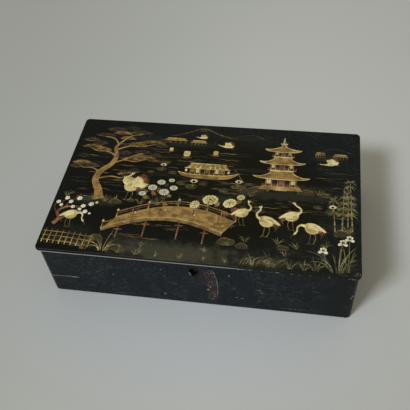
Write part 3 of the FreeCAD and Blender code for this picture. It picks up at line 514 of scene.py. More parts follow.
# Painted shade: the black is darker towards the left end, standing in for the room's soft reflection, which
# is weaker there than on the right
colour = blend(ramp(x, 0.0, -110.0, 0.0, 0.75), colour, PAINTED_SHADE_BLACK)
colour = blend(grainy, colour, blend(powder, SIFTED, SIFTED_BRIGHT))
colour = sprinkle(place, colour, ramp(z, SEAM / MM + 0.3, SEAM / MM + 0.1) * 0.65)
colour = blend(specks(place, 700.0, 0.25, 0.18) * on_top * 0.10, colour, SIFTED_BRIGHT)
# The pale line on the lower front edge: bared lacquer, and a painted highlight of the window on the rounded
# edge
facing_front = ramp(y, LID_LOW.y / MM + 0.9, LID_LOW.y / MM + 0.3)
line_height = ramp(z, SEAM / MM, SEAM / MM + 0.5) * ramp(z, SEAM / MM + 1.4, SEAM / MM + 0.9)
broken = noise(in_mm, 0.22, 6.0, 0.7)
to_right = ramp(x, 24.0, 44.0)
kept = ramp(broken, 0.28, 0.40, 0.35, 1.0) * (1.0 - to_right) + ramp(broken, 0.54, 0.62, 0.0, 0.55) * to_right
lid_lacquer = complete(blend(facing_front * line_height * kept * 0.80, colour, WORN_LINE_AND_HIGHLIGHT), *rest)
print("lid ground:", len(BANKS), "sifted banks and one worn line")

# %% [markdown]
# The other finishes are on small things. Brass that nobody polishes goes brown, darkest in the
# hollows, with the yellow metal showing where it is rubbed; the keyhole's rim is nearly black, with
# a painted glint of light on its lip at the lower left, and the lock parts seen through the keyhole
# are painted near black, as painted shade inside it.
# Slate has long faint bands and dried ink in its hollows. The glaze of the water dropper is
# finely crazed. Bamboo has long fibres under a thin skin. Each one is short, because the shared
# effects do the work.

# %% Metal, stone, glaze, bamboo, hair and ink
def aged_brass(name, bright, dark, shine):
    place = begin(name, Metallic=0.9)
    tarnish = clouding(place, 260.0, 0.40 - shine, 0.66 - shine)
    spots = specks(place, 1500.0, 0.35, 0.25)
    lines = hairlines(place, (0.0, 0.0, 0.0), (90.0, 2600.0, 2600.0), 0.02)
    dull = maths("SUBTRACT", tarnish + spots * 0.4, lines * 0.5, clamp=True)
    return complete(blend(dull, bright, dark), ramp(dull, 0.0, 1.0, 0.30, 0.58), dull, 0.15, 0.05)


BRASS_BROWN = (0.095, 0.066, 0.036, 1.0)
brass = aged_brass("aged_brass", (0.36, 0.27, 0.125, 1.0), BRASS_BROWN, 0.0)
spring_brass = aged_brass("spring_brass", (0.42, 0.31, 0.14, 1.0), BRASS_BROWN, -0.08)
# Painted shade: near-black metal for the lock parts behind the keyhole
dark_brass = aged_brass("dark_brass", (0.016, 0.014, 0.011, 1.0), (0.005, 0.005, 0.005, 1.0), -0.04)

place = begin("keyhole_rim", Metallic=0.5, Specular_IOR_Level=0.2)
rim_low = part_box("keyhole_escutcheon")[0]
# A painted glint: the rim's outer lip is painted pale at its lower left, where it catches the light
near = length(vector("SUBTRACT", place, rim_low + Vector((1.0, 0.0, 3.6)) * MM))
patchy = clouding(place, 700.0, 0.40, 0.60)
outermost = ramp(split(place)[1], rim_low.y + 0.5 * MM, rim_low.y + 0.25 * MM)
glint = ramp(near, 2.6 * MM, 1.0 * MM) * ramp(patchy, 0.0, 1.0, 0.5, 1.0) * outermost
rim_brass = complete(blend(glint, (0.010, 0.009, 0.008, 1.0), from_screen(150, 150, 140)),
                     ramp(patchy, 0.0, 1.0, 0.42, 0.62))

place = begin("inkstone_slate", Specular_IOR_Level=0.4)
stone_low, stone_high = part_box("inkstone")
bands = noise(vector("MULTIPLY", place, (18.0, 110.0, 160.0)), 1.0, 6.0)
colour = blend(ramp(bands, 0.3, 0.7), (0.022, 0.024, 0.027, 1.0), (0.050, 0.052, 0.055, 1.0))
colour = blend(edge_rub(place, stone_low, stone_high, 0.9 * MM) * 0.45, colour, (0.16, 0.165, 0.17, 1.0))
dried = ramp(split(place)[2], stone_high.z - 0.8 * MM, stone_high.z - 3.0 * MM)
dried = dried * clouding(place, 120.0, 0.22, 0.70)
slate = complete(blend(dried, colour, (0.008, 0.008, 0.0085, 1.0)), ramp(dried, 0.0, 1.0, 0.62, 0.28),
                 bands, 0.25, 0.2)

place = begin("crazed_glaze", Coat_Weight=0.6, Coat_Roughness=0.08)
net = add("ShaderNodeTexVoronoi", {"Vector": place, "Scale": 330.0}, feature="DISTANCE_TO_EDGE")
pooled = clouding(place, 70.0, 0.3, 0.7)
colour = blend(pooled, (0.66, 0.69, 0.66, 1.0), (0.76, 0.77, 0.71, 1.0))
porcelain = complete(blend(ramp(net, 0.035, 0.0) * 0.35, colour, (0.25, 0.19, 0.12, 1.0)),
                     ramp(pooled, 0.0, 1.0, 0.14, 0.24))

place = begin("bamboo")
fibres = noise(vector("MULTIPLY", place, (30.0, 1700.0, 1700.0)), 1.0, 4.0)
share = maths("ADD", ramp(fibres, 0.38, 0.66, 0.0, 0.6), clouding(place, 90.0, 0.45, 0.7) * 0.35, clamp=True)
colour = blend(share, (0.52, 0.36, 0.17, 1.0), (0.26, 0.15, 0.06, 1.0))
bamboo = complete(colour, ramp(share, 0.0, 1.0, 0.32, 0.48), fibres, 0.2, 0.08)

place = begin("pressed_ink", Specular_IOR_Level=0.35)
soot = clouding(place, 240.0, 0.35, 0.65)
colour = blend(soot, (0.008, 0.008, 0.009, 1.0), (0.017, 0.016, 0.016, 1.0))
ink = complete(colour, ramp(soot, 0.0, 1.0, 0.42, 0.62), soot, 0.2, 0.06)

place = begin("brush_hair", Specular_IOR_Level=0.3)
strands = noise(vector("MULTIPLY", place, (60.0, 4200.0, 4200.0)), 1.0, 4.0)
colour = blend(ramp(strands, 0.35, 0.65), (0.30, 0.19, 0.10, 1.0), (0.60, 0.45, 0.28, 1.0))
tip_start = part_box("brush_tip_large")[0].x
inked = ramp(split(place)[0], tip_start + 12 * MM, tip_start + 24 * MM)
hair = complete(blend(inked * 0.88, colour, (0.012, 0.011, 0.012, 1.0)), ramp(strands, 0.3, 0.7, 0.5, 0.8),
                strands, 0.6, 0.15)

finishes = {
    "black_lacquer": case_lacquer, "bamboo": bamboo, "brass": brass, "slate": slate,
    "porcelain": porcelain, "ink": ink, "hair": hair,
}
own_finishes = {
    "front_board": front_lacquer, "lid_board": lid_lacquer, "keyhole_escutcheon": rim_brass,
    "bolt_spring": spring_brass, "lock_cap": dark_brass, "lock_rim": dark_brass, "lock_key_pin": dark_brass,
    "lock_rivets": dark_brass,
}
INNER_NODES = ("ledge_", "seat_", "tray_", "brush_rest")
for part in frame["record"]["subparts"]:
    name = part["node"]
    finish = own_finishes.get(name, finishes[part["material_slot"]])
    if name.startswith(INNER_NODES):
        finish = inner_lacquer
    for slot in frame["nodes"][name].material_slots:
        slot.material = finish
print(len(frame["nodes"]), "nodes finished with", len(bpy.data.materials), "materials")

# %% [markdown]
# Now the picture. On the real lid it is drawn in wet lacquer, dusted with powdered metal and
# built up in thin coats, so every line stands a tenth of a millimetre or so above the ground.
# That could be painted as a bump, but a bump is lost in a close or low view, so each line and
# each patch is a thin solid here. A patch is a flat curve that Blender fills, thickens and rounds
# at its edge. A line is a curve with a round bevel that swells and tapers from point to point, as
# a brush line does, and is then pressed flat. Both are drawn in millimetres on the lid, with x to
# the right and y to the back.

# %% Gold tones
TONES = {
    # name: (full tone, worn tone, how much of it is worn, how metallic)
    "ochre": (from_screen(164, 134, 70), from_screen(112, 88, 46), 0.28, 0.30),
    "olive": (from_screen(152, 126, 66), from_screen(92, 76, 40), 0.35, 0.30),
    "straw": (from_screen(212, 198, 136), from_screen(160, 140, 82), 0.28, 0.22),
    "cream": (from_screen(218, 208, 150), from_screen(180, 166, 106), 0.26, 0.15),
    "russet": (from_screen(142, 96, 66), from_screen(90, 58, 40), 0.35, 0.28),
    "dull": (from_screen(108, 92, 56), from_screen(52, 46, 30), 0.55, 0.30),
    "dusk": (from_screen(74, 70, 46), from_screen(34, 33, 24), 0.60, 0.25),
    "reed": (from_screen(138, 138, 94), from_screen(86, 87, 54), 0.30, 0.15),
    "white": (from_screen(222, 217, 188), from_screen(184, 176, 140), 0.15, 0.05),
    "shade": (from_screen(30, 24, 16), from_screen(14, 13, 11), 0.50, 0.10),
}


def dust_gold(place, full, tired, wear):
    """Powdered metal over lacquer: its colour, roughness and relief."""
    streak = noise(vector("MULTIPLY", place, (160.0, 900.0, 160.0)), 1.0, 4.0)
    grain = add("ShaderNodeTexVoronoi", {"Vector": place, "Scale": 3800.0}, "Color")
    bright, lost, _ = add("ShaderNodeSeparateColor", {0: grain}, None)
    start = 0.75 - wear * 0.42
    rubbed = ramp(noise(place, 190.0, 5.0) * 0.65 + streak * 0.35, start, start - 0.22, 1.0, 0.0)
    share = maths("ADD", rubbed + maths("GREATER_THAN", lost, 0.86) * 0.35, bright * 0.18, clamp=True)
    return blend(share, full, tired), ramp(share, 0.0, 1.0, 0.40, 0.58), bright * 0.5 - share


powdered_gold = shared(
    "powdered_gold",
    {"Place": ORIGIN, "Full": (1.0, 1.0, 1.0, 1.0), "Worn": (0.0, 0.0, 0.0, 1.0), "Wear": 0.3},
    {"Colour": (0.0, 0.0, 0.0, 1.0), "Roughness": 0.0, "Height": 0.0},
    dust_gold,
)
gold = {}
for tone, (full, tired, wear, metal) in TONES.items():
    place = begin("gold_" + tone, Metallic=metal, Specular_IOR_Level=0.3)
    gold[tone] = complete(*powdered_gold(place, full, tired, wear, result=None), 0.22, 0.04)
print(len(gold), "tones of powdered metal")

# %% [markdown]
# A drawing is a list of patches and lines, each with its tone and its level above the lid, and
# `patch` and `line` add to the one that is open. A function marked `@drawing` opens a new one and
# gives it back, and `put` adds it to the open one, moved, turned, scaled or mirrored, so that one
# crane or one flower serves in several places. `smooth` runs a soft curve through a few given
# points, and `ribbon` gives a thick limb its two sides. At the end of each step `lay` turns what
# is drawn into thin solids, one object for each tone.

# %% Helpers for drawing on the lid
PATCH_THICKNESS = 0.10
ROUNDING = 0.03
LINE_FLATNESS = 0.32
LEVEL_STEP = 0.03
THINNEST_LINE = 0.04
SAME_PLACE = 0.0004 * MM
MILLIMETRES = Matrix.Diagonal((MM, MM, MM, 1.0))
LID_PLANE = Matrix.Translation((0, 0, LID_TOP)) @ MILLIMETRES


class Drawn:
    """The drawing that is open."""
    marks = []


def taken():
    """The open drawing, which is then empty again."""
    marks, Drawn.marks = Drawn.marks, []
    return marks


def drawing(recipe):
    """Makes a recipe of patches and lines give them as a drawing of its own."""
    def draw(*values, **named):
        before = taken()
        recipe(*values, **named)
        made, Drawn.marks = Drawn.marks, before
        return made
    return draw


def smooth(points, steps=4, closed=False):
    """A soft curve through the points."""
    count = len(points)
    found = []
    for i in range(count if closed else count - 1):
        if closed:
            a, b, c, d = (points[(i + k) % count] for k in (-1, 0, 1, 2))
        else:
            a, b, c, d = points[max(i - 1, 0)], points[i], points[i + 1], points[min(i + 2, count - 1)]
        for t in (s / steps for s in range(steps)):
            found.append(tuple(
                0.5 * (2 * q + (r - p) * t + (2 * p - 5 * q + 4 * r - w) * t * t
                       + (3 * q - p - 3 * r + w) * t ** 3)
                for p, q, r, w in zip(a, b, c, d)
            ))
    return found if closed else found + [tuple(points[-1])]


def ribbon(points, widths):
    """The outline of a limb that follows points with the given full widths."""
    path = smooth([(x, y, w) for (x, y), w in zip(points, widths)], 5)
    left, right = [], []
    for i, (x, y, w) in enumerate(path):
        ahead, behind = path[min(i + 1, len(path) - 1)], path[max(i - 1, 0)]
        dx, dy = ahead[0] - behind[0], ahead[1] - behind[1]
        size = math.hypot(dx, dy) or 1.0
        left.append((x - dy / size * w / 2, y + dx / size * w / 2))
        right.append((x + dy / size * w / 2, y - dx / size * w / 2))
    return left + right[::-1]


def polar(angle, reach, squash=1.0):
    """A point at an angle in radians and a reach, pressed together in y."""
    return math.cos(angle) * reach, math.sin(angle) * reach * squash


def patch(tone, points, level=0, steps=0):
    """Draws a filled shape."""
    Drawn.marks.append((tone, level, smooth(points, steps, True) if steps else list(points), None))


def panel(tone, left, low, right, high, level=0):
    patch(tone, [(left, low), (right, low), (right, high), (left, high)], level)


def line(tone, points, widths, level=0, steps=4):
    """Draws a brush line; widths is one number, or one for each point."""
    if not hasattr(widths, "__len__"):
        widths = [widths] * len(points)
    path = [(x, y, w) for (x, y), w in zip(points, widths)]
    if len(path) > 2:
        path = smooth(path, steps)
    Drawn.marks.append((tone, level, [(x, y) for x, y, _ in path],
                        [max(w, THINNEST_LINE) for _, _, w in path]))


def put(drawn, x=0.0, y=0.0, size=1.0, turn=0.0, mirror=False, level=0, squash=1.0):
    """Draws a drawing again, moved, turned (degrees), scaled or mirrored, and raised by some levels."""
    c, s = math.cos(math.radians(turn)) * size, math.sin(math.radians(turn)) * size
    flip = -1 if mirror else 1
    for tone, own, points, widths in drawn:
        moved = [(x + c * flip * px - s * py, y + squash * (s * flip * px + c * py)) for px, py in points]
        Drawn.marks.append((tone, own + level, moved, None if widths is None else [w * size for w in widths]))


def as_mesh(curve, splines, level, flatness, plane):
    """Gives a curve its splines, in millimetres, and turns it into a mesh at its level on a plane."""
    for points, widths in splines:
        spline = curve.splines.new("POLY")
        spline.points.add(len(points) - 1)
        spline.use_cyclic_u = widths is None
        for point, (x, y), width in zip(spline.points, points, widths or [1.0] * len(points)):
            point.co = (x, y, 0.0, 1.0)
            point.radius = width
    helper = bpy.data.objects.new("helper", curve)
    mesh = bpy.data.meshes.new_from_object(helper)
    bpy.data.objects.remove(helper)
    bpy.data.curves.remove(curve)
    raised = Matrix.Translation((0, 0, level * LEVEL_STEP))
    mesh.transform(plane @ raised @ Matrix.Diagonal((1.0, 1.0, flatness, 1.0)))
    return mesh


def patch_mesh(points, level, plane):
    curve = bpy.data.curves.new("patch", "CURVE")
    curve.dimensions, curve.fill_mode = "2D", "BOTH"
    curve.extrude, curve.bevel_depth, curve.bevel_resolution = PATCH_THICKNESS - ROUNDING, ROUNDING, 0
    curve.offset = -ROUNDING
    return as_mesh(curve, [(points, None)], level, 1.0, plane)


def lines_mesh(strokes, level, plane):
    curve = bpy.data.curves.new("lines", "CURVE")
    curve.dimensions, curve.bevel_depth, curve.bevel_resolution = "3D", 0.5, 1
    curve.use_fill_caps, curve.twist_mode = True, "Z_UP"
    return as_mesh(curve, strokes, level, LINE_FLATNESS, plane)


def link(name, data):
    made = bpy.data.objects.new(name, data)
    bpy.context.scene.collection.objects.link(made)
    return made


drawn_pieces = []


def lay(name, finishes=gold, plane=LID_PLANE, body="lid"):
    """Makes what is drawn into thin solids on a plane, one object per tone, riding on a body."""
    marks = taken()
    tones = sorted({mark[0] for mark in marks})
    for tone in tones:
        mine = [mark[1:] for mark in marks if mark[0] == tone]
        parts = [patch_mesh(points, level, plane) for level, points, widths in mine if widths is None]
        lines = [mark for mark in mine if mark[2] is not None]
        for level in sorted({mark[0] for mark in lines}):
            parts.append(lines_mesh([mark[1:] for mark in lines if mark[0] == level], level, plane))
        shape = bmesh.new()
        for part in parts:
            shape.from_mesh(part)
            bpy.data.meshes.remove(part)
        bmesh.ops.remove_doubles(shape, verts=shape.verts, dist=SAME_PLACE)
        bmesh.ops.dissolve_degenerate(shape, edges=shape.edges, dist=SAME_PLACE)
        bmesh.ops.recalc_face_normals(shape, faces=shape.faces)
        mesh = bpy.data.meshes.new(name + "_" + tone)
        shape.to_mesh(mesh)
        shape.free()
        mesh.materials.append(finishes[tone])
        piece = link(mesh.name, mesh)
        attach(piece, body)
        drawn_pieces.append(piece)
    print(name, "in", ", ".join(tones))


chance = random.Random(11)
between = chance.uniform

# %% [markdown]
# The tower stands at the back on the right. Each storey is a wall with posts, lattice windows and
# a railed gallery, under a roof whose eaves curve up at the corners. The roof is one outline and
# its tiles are lines that fan out from the ridge, so one function draws all three storeys at
# falling sizes. A spire with rings finishes it.

# %% Tower
@drawing
def roof(width, ridge, height, lift):
    """A tiled roof: eaves of full width, the ridge's width, its height and the corners' lift."""
    half, top = width / 2, ridge / 2
    side = smooth([(-half, lift), (-half * 0.74, lift * 0.35 + height * 0.16), (-top * 1.25, height * 0.62),
                   (-top, height)], 4)
    eaves = smooth([(half, lift), (half * 0.82, lift * 0.25), (half * 0.4, -0.2), (0, -0.3),
                    (-half * 0.4, -0.2), (-half * 0.82, lift * 0.25), (-half, lift)], 4)
    patch("ochre", side + [(-x, y) for x, y in side[::-1]] + eaves[1:-1], 3)
    tiles = int(width / 1.7)
    for i in range(1, tiles):
        t = 2 * i / tiles - 1
        foot = lift * max(0.0, abs(t) - 0.4) ** 1.5 * 1.8
        bend = t * (top + (half - top) * 0.28)
        line("russet" if i % 2 else "dull",
             [(t * top, height - 0.4), (bend, height * 0.45), (t * half * 0.98, foot + 0.3)],
             [0.22, 0.30, 0.42], 5)
    line("straw", [(x, y - 0.15) for x, y in eaves[::3] + eaves[-1:]], 0.75, 6, 2)
    hip = side[::4] + side[-1:]
    for flip in (1, -1):
        line("straw", [(flip * x, y) for x, y in hip], [0.8] * (len(hip) - 1) + [0.9], 6, 2)
    patch("straw", [(-top - 0.9, height - 0.3), (top + 0.9, height - 0.3), (top + 1.3, height + 1.3),
                    (top, height + 0.9), (-top, height + 0.9), (-top - 1.3, height + 1.3)], 6)


@drawing
def storey(width, height):
    """Walls, posts, windows and a railed gallery."""
    half, bays = width / 2, 5
    panel("shade", -half, 0, half, height)
    for i in range(bays + 1):
        x = -half + width * i / bays
        line("ochre", [(x, 0), (x, height)], 0.8, 2)
    for i in range(bays):
        left, right = -half + width * i / bays + 0.7, -half + width * (i + 1) / bays - 0.7
        if i in (0, bays - 1):
            panel("straw", left, 2.1, right, height - 1.2, 1)
            line("russet", [((left + right) / 2, 2.1), ((left + right) / 2, height - 1.2)], 0.25, 4)
        elif i != bays // 2:
            for k in range(1, 4):
                x = left + (right - left) * k / 4
                line("olive", [(x, 2.0), (x, height - 1.0)], 0.26, 2)
        else:
            panel("russet", left, 0.6, right, height - 1.6, 1)
    line("ochre", [(-half, height - 0.6), (half, height - 0.6)], 0.7, 3)
    out = half + 2.4
    panel("ochre", -out, -0.9, out, 0.1, 2)
    line("russet", [(-out, 1.9), (out, 1.9)], 0.5, 4)
    line("russet", [(-out, 1.0), (out, 1.0)], 0.32, 4)
    for i in range(11):
        x = -out + 2 * out * i / 10
        line("russet", [(x, -0.2), (x, 2.2)], 0.34, 4)


STOREYS = (
    # foot, width and height of the walls, width of the eaves and of the ridge, height of the roof
    (0.0, 24.0, 7.6, 45.0, 17.0, 8.4), (17.6, 18.0, 6.4, 37.0, 13.0, 7.4), (32.6, 13.0, 5.6, 30.0, 3.4, 8.6),
)


@drawing
def tower():
    for foot, wall, wall_height, eaves, ridge, roof_height in STOREYS:
        put(storey(wall, wall_height), 0, foot)
        put(roof(eaves, ridge, roof_height, 2.4), 0, foot + wall_height)
    top = STOREYS[-1][0] + STOREYS[-1][2] + STOREYS[-1][5]
    line("straw", [(0, top), (0, top + 8.5)], [0.8, 0.3], 6)
    for i in range(5):
        half, y = 1.5 - 0.22 * i, top + 1.6 + 1.25 * i
        line("cream", [(-half, y), (half, y)], 0.5, 8)
    patch("ochre", [(-17, -4.2), (17, -4.2), (15.4, -0.8), (-15.4, -0.8)], 1)
    for i in range(9):
        line("dull", [(-15.6 + 3.9 * i, -4.0), (-14.6 + 3.65 * i, -1.0)], 0.3, 3)
    for i in range(4):
        half, y = 3.6 + 0.5 * i, -1.2 - 1.1 * i
        line("straw", [(-half, y), (half, y)], 0.5, 4)


put(tower(), 58, 7)
lay("tower")

# %% [markdown]
# The old pine on the left leans out over the water. Its trunk is a thick ribbon with bark lines,
# its limbs are tapered lines, and its needles grow in flat pads: each pad is a row of small fans,
# and each fan is eleven short lines. The far pads are in the dullest tone, so that they sink
# into the dark as the real ones do.

# %% Pine
NEEDLES = 11
PAD_ROWS = 2


def fan(tone, x, y, size, level):
    """One tuft of needles, open upwards."""
    for i in range(NEEDLES):
        angle = math.radians(12 + 156 * i / (NEEDLES - 1) + between(-5, 5))
        dx, dy = polar(angle, size * between(0.8, 1.05), 0.8)
        line(tone, [(x, y), (x + dx, y + dy)], [0.34, 0.12], level)


def pad(x, y, length, tone):
    """A flat cloud of needle tufts on a twig."""
    twig = [(x - length / 2, y), (x, y - 0.5), (x + length / 2, y + 0.2)]
    line("russet" if tone != "dusk" else "dull", twig, [0.3, 0.6, 0.25], 2)
    for row in range(PAD_ROWS):
        reach = length / 2 * (1 - 0.3 * row)
        count = max(3, int(reach / 1.15))
        for i in range(count + 1):
            t = 2 * i / count - 1
            fan(tone, x + t * reach, y + 1.5 * row + 0.9 * (1 - t * t), 2.6, 3 + row)


TRUNK = ((-84, -20), (-87, -10), (-92, 0), (-90, 10), (-83, 19), (-81, 29), (-84, 38), (-80, 46))
patch("ochre", ribbon(TRUNK, (8.4, 6.2, 5.4, 5.0, 4.4, 3.6, 2.8, 1.6)), 1)
for side in (-0.55, -0.2, 0.15, 0.5):
    line("russet", [(x + side * (5 - 0.5 * i), y) for i, (x, y) in enumerate(TRUNK[:-1])],
         [0.3, 0.5, 0.35, 0.5, 0.3, 0.4, 0.2], 3)
for i in range(26):
    t = i / 26 * (len(TRUNK) - 2)
    low = int(t)
    x = TRUNK[low][0] + (TRUNK[low + 1][0] - TRUNK[low][0]) * (t - low) + between(-1.6, 1.2)
    y = TRUNK[low][1] + (TRUNK[low + 1][1] - TRUNK[low][1]) * (t - low)
    line("dull", [(x - 0.9, y - 0.3), (x, y + 0.35), (x + 0.9, y - 0.2)], [0.15, 0.4, 0.15], 3, 3)
LIMBS = (
    ((-90, 8), (-98, 13), (-106, 13), (-112, 17)), ((-84, 18), (-74, 24), (-64, 23), (-54, 27)),
    ((-81, 28), (-90, 33), (-99, 33), (-107, 37)), ((-82, 36), (-72, 41), (-62, 41), (-50, 45)),
    ((-82, 42), (-88, 49), (-97, 51)), ((-80, 46), (-74, 53), (-64, 56)), ((-74, 24), (-66, 30), (-58, 33)),
    ((-90, 2), (-80, 5), (-72, 4), (-66, 7)),
)
for limb in LIMBS:
    line("ochre", limb, [2.0, 1.3, 0.9, 0.4][: len(limb)], 2, 5)
PADS = (
    # x, y, length, tone
    (-108, 17.5, 14, "olive"), (-99, 14.5, 12, "dull"), (-57, 27.5, 16, "olive"), (-67, 24.5, 13, "olive"),
    (-112, 13.0, 9, "dull"), (-104, 37, 16, "olive"), (-94, 34, 11, "olive"), (-54, 45.5, 19, "olive"),
    (-66, 42.5, 13, "olive"), (-45, 42.5, 10, "dull"), (-96, 51.5, 16, "dull"), (-82, 55, 14, "olive"),
    (-66, 57, 17, "dull"), (-60, 33.5, 13, "dull"), (-88, 59.5, 15, "dull"), (-68, 7.5, 12, "olive"),
    (-76, 49, 11, "olive"), (-107, 45, 12, "dull"), (-44, 48.5, 9, "dull"), (-74, 62, 12, "dusk"),
    (-74, 31.5, 9, "dull"), (-109, 25.5, 8, "dusk"), (-98, 41.5, 9, "dull"), (-62, 12, 8, "dusk"),
    (-48, 30.5, 8, "dull"),
)
for x, y, length, tone in PADS:
    pad(x, y, length, tone)
lay("pine")

# %% [markdown]
# The drum bridge crosses the front on the left. Its deck is seen a little from above, so it is the
# band between a near arc and a far arc, with a line for each plank. The near side has a face board
# under it, and piers with cross beams stand in the water. Both parapets are rails on posts, and
# every second post has an onion cap.

# %% Drum bridge
PLANKS = 46
POSTS = 8
ONION = ((-0.75, 0), (0.75, 0), (0.95, 0.8), (0.35, 1.6), (0, 2.5), (-0.35, 1.6), (-0.95, 0.8))


def near_arc(t):
    return (-74 + 92 * t, -53 + 17.0 * math.sin(math.pi * (0.08 + 0.84 * t)) + 4.0 * t)


def far_arc(t):
    x, y = near_arc(t)
    return (x + 9.0, y + 12.5)


def along(arc, rise=0.0, count=30):
    return [(x, y + rise) for x, y in (arc(i / count) for i in range(count + 1))]


def parapet(arc, height, level):
    """A hand rail and a lower rail on posts."""
    line("ochre", along(arc, height, 24), 0.85, level, 1)
    line("russet", along(arc, height * 0.55, 24), 0.5, level, 1)
    for i in range(POSTS + 1):
        x, y = arc(i / POSTS)
        stout = i % 2 == 0
        top = y + height + (1.0 if stout else 0.0)
        line("ochre", [(x, y - 0.4), (x, top)], 1.15 if stout else 0.7, level + 1)
        if stout:
            patch("straw", [(x + dx, y + height + 0.9 + dy) for dx, dy in ONION], level + 3, 2)


for t in (0.14, 0.36, 0.64, 0.86):
    for arc, reach in ((near_arc, 1.0), (far_arc, 0.45)):
        x, y = arc(t)
        depth = (y + 60) * 0.62 * reach + 3
        line("russet", [(x, y - 2.0), (x - 0.4, y - depth)], [1.7, 1.3], 1)
    x, y = near_arc(t)
    line("russet", [(x - 3.2, y - 5.6), (x + 3.4, y - 5.6)], 1.0, 2)
parapet(far_arc, 5.0, 1)
patch("ochre", along(near_arc) + along(far_arc)[::-1], 4)
for i in range(1, PLANKS):
    (x, y), (far_x, far_y) = near_arc(i / PLANKS), far_arc(i / PLANKS)
    line("russet" if i % 3 else "olive",
         [(x, y + 0.2), ((x + far_x) / 2, (y + far_y) / 2), (far_x, far_y - 0.2)],
         [0.22, 0.14 if i % 2 else 0.26, 0.20], 5, 1)
patch("olive", along(near_arc, 0.4) + along(near_arc, -2.6)[::-1], 6)
line("straw", along(near_arc, 0.5), 0.45, 8, 1)
line("russet", along(near_arc, -2.5), 0.5, 8, 1)
parapet(near_arc, 5.6, 8)
lay("bridge")
print("it spans", near_arc(1)[0] - near_arc(0)[0], "mm with", PLANKS - 1, "planks")

# %% [markdown]
# Cranes stand for long life, and they take the place of the main figures in the front of the
# picture. One is drawn once, facing left: a tapered body patch, scale-shaped feathers in rows, a
# folded wing, a bustle of dark drooping plumes, an S-curved neck and long jointed legs. It is
# placed several times, mirrored and tilted, with a bowed head on some. A second drawing has both
# wings raised, and a third is in flight.

# %% Cranes
NECKS = {
    # pose: (turn of the head in degrees, the neck's line)
    "high": (12, ((-4.2, 16.6), (-7.0, 18.6), (-7.4, 22.0), (-5.2, 25.0), (-5.4, 28.2))),
    "low": (52, ((-4.2, 16.2), (-8.0, 17.0), (-10.6, 14.6), (-10.8, 11.0), (-12.4, 8.4))),
    "back": (20, ((-4.0, 17.2), (-7.0, 20.0), (-6.2, 23.6), (-3.0, 26.0), (-1.0, 28.6))),
}
FOLDED_WING_LEVEL = 5


def feathers(rows, tone, level, size=1.0):
    """Rows of small scale-like arcs; each row is (x, y, dx, dy, count)."""
    side, rise = 0.75 * size, 0.45 * size
    for left, low, dx, dy, count in rows:
        for x, y in ((left + dx * i, low + dy * i) for i in range(count)):
            arc = [(x - side, y + rise), (x, y - rise), (x + side, y + rise)]
            line(tone, arc, [0.16, 0.34, 0.16], level, 3)


@drawing
def crane_head():
    patch("cream", [(1.2, -0.7), (1.0, 0.9), (-0.6, 1.0), (-1.6, 0.2), (-0.8, -0.8)], 0, 3)
    line("olive", [(-1.2, 0.1), (-5.6, -0.1)], [0.8, 0.15], 1)
    patch("russet", [(0.8, 0.5), (-0.2, 1.25), (-1.0, 0.6), (-0.2, 0.3)], 2, 2)


@drawing
def crane(pose):
    """A standing crane facing left, feet at the origin, about 30 mm tall."""
    line("olive", [(-0.6, 11), (-0.9, 6), (-1.6, 0.6)], [1.0, 0.5, 0.5], 1)
    line("olive", [(2.0, 11), (3.2, 5.6), (1.6, 0.4)], [1.0, 0.6, 0.5], 1)
    for x in (-1.6, 1.6):
        for toe in (-1.9, -0.9, 1.3):
            line("olive", [(x, 0.6), (x + toe, -0.2)], [0.45, 0.2], 1)
    for i in range(9):
        y = 16.4 - 0.75 * i
        plume = [(5.0, y), (9.0 - 0.25 * i, y - 0.8 - 0.2 * i), (12.2 - 0.75 * i, y - 4.2 - 0.25 * i)]
        line("russet" if i % 2 else "shade", plume, [1.0, 1.25, 0.2], 2)
    patch("straw", [(-5.4, 15.2), (-5.0, 18.2), (-1.6, 19.6), (3.0, 18.8), (7.6, 15.6), (10.2, 12.0),
                    (6.0, 11.2), (2.2, 9.4), (-1.8, 9.6), (-4.6, 12.0)], 3, 4)
    feathers([(-3.6, 12.2, 1.55, -0.25, 4), (-4.2, 13.8, 1.55, -0.15, 5), (-4.2, 15.4, 1.5, 0.0, 4)],
             "olive", FOLDED_WING_LEVEL)
    patch("cream", [(-2.6, 17.6), (1.8, 18.6), (6.4, 16.4), (10.8, 11.6), (6.6, 12.6), (2.4, 12.8),
                    (-1.0, 14.4)], FOLDED_WING_LEVEL, 4)
    for i in range(7):
        y = 17.6 - 0.72 * i
        quill = [(-1.6 + 0.75 * i, y), (2.6 + 0.7 * i, y - 0.8), (9.4 + 0.12 * i, 13.4 - 0.2 * i)]
        line("russet", quill, [0.2, 0.32, 0.16], 7, 3)
    feathers([(-1.0, 16.6, 1.35, 0.1, 3), (-0.4, 15.3, 1.35, -0.1, 3)], "russet", 7, 0.85)
    turn, neck = NECKS[pose]
    line("cream", neck, [3.4, 2.2, 1.6, 1.4, 1.5], 6, 5)
    line("russet", [(x + 0.25, y) for x, y in neck[1:]], [0.3, 0.7, 0.7, 0.2], 8, 5)
    put(crane_head(), *neck[-1], 1.0, turn, pose == "back", 8)


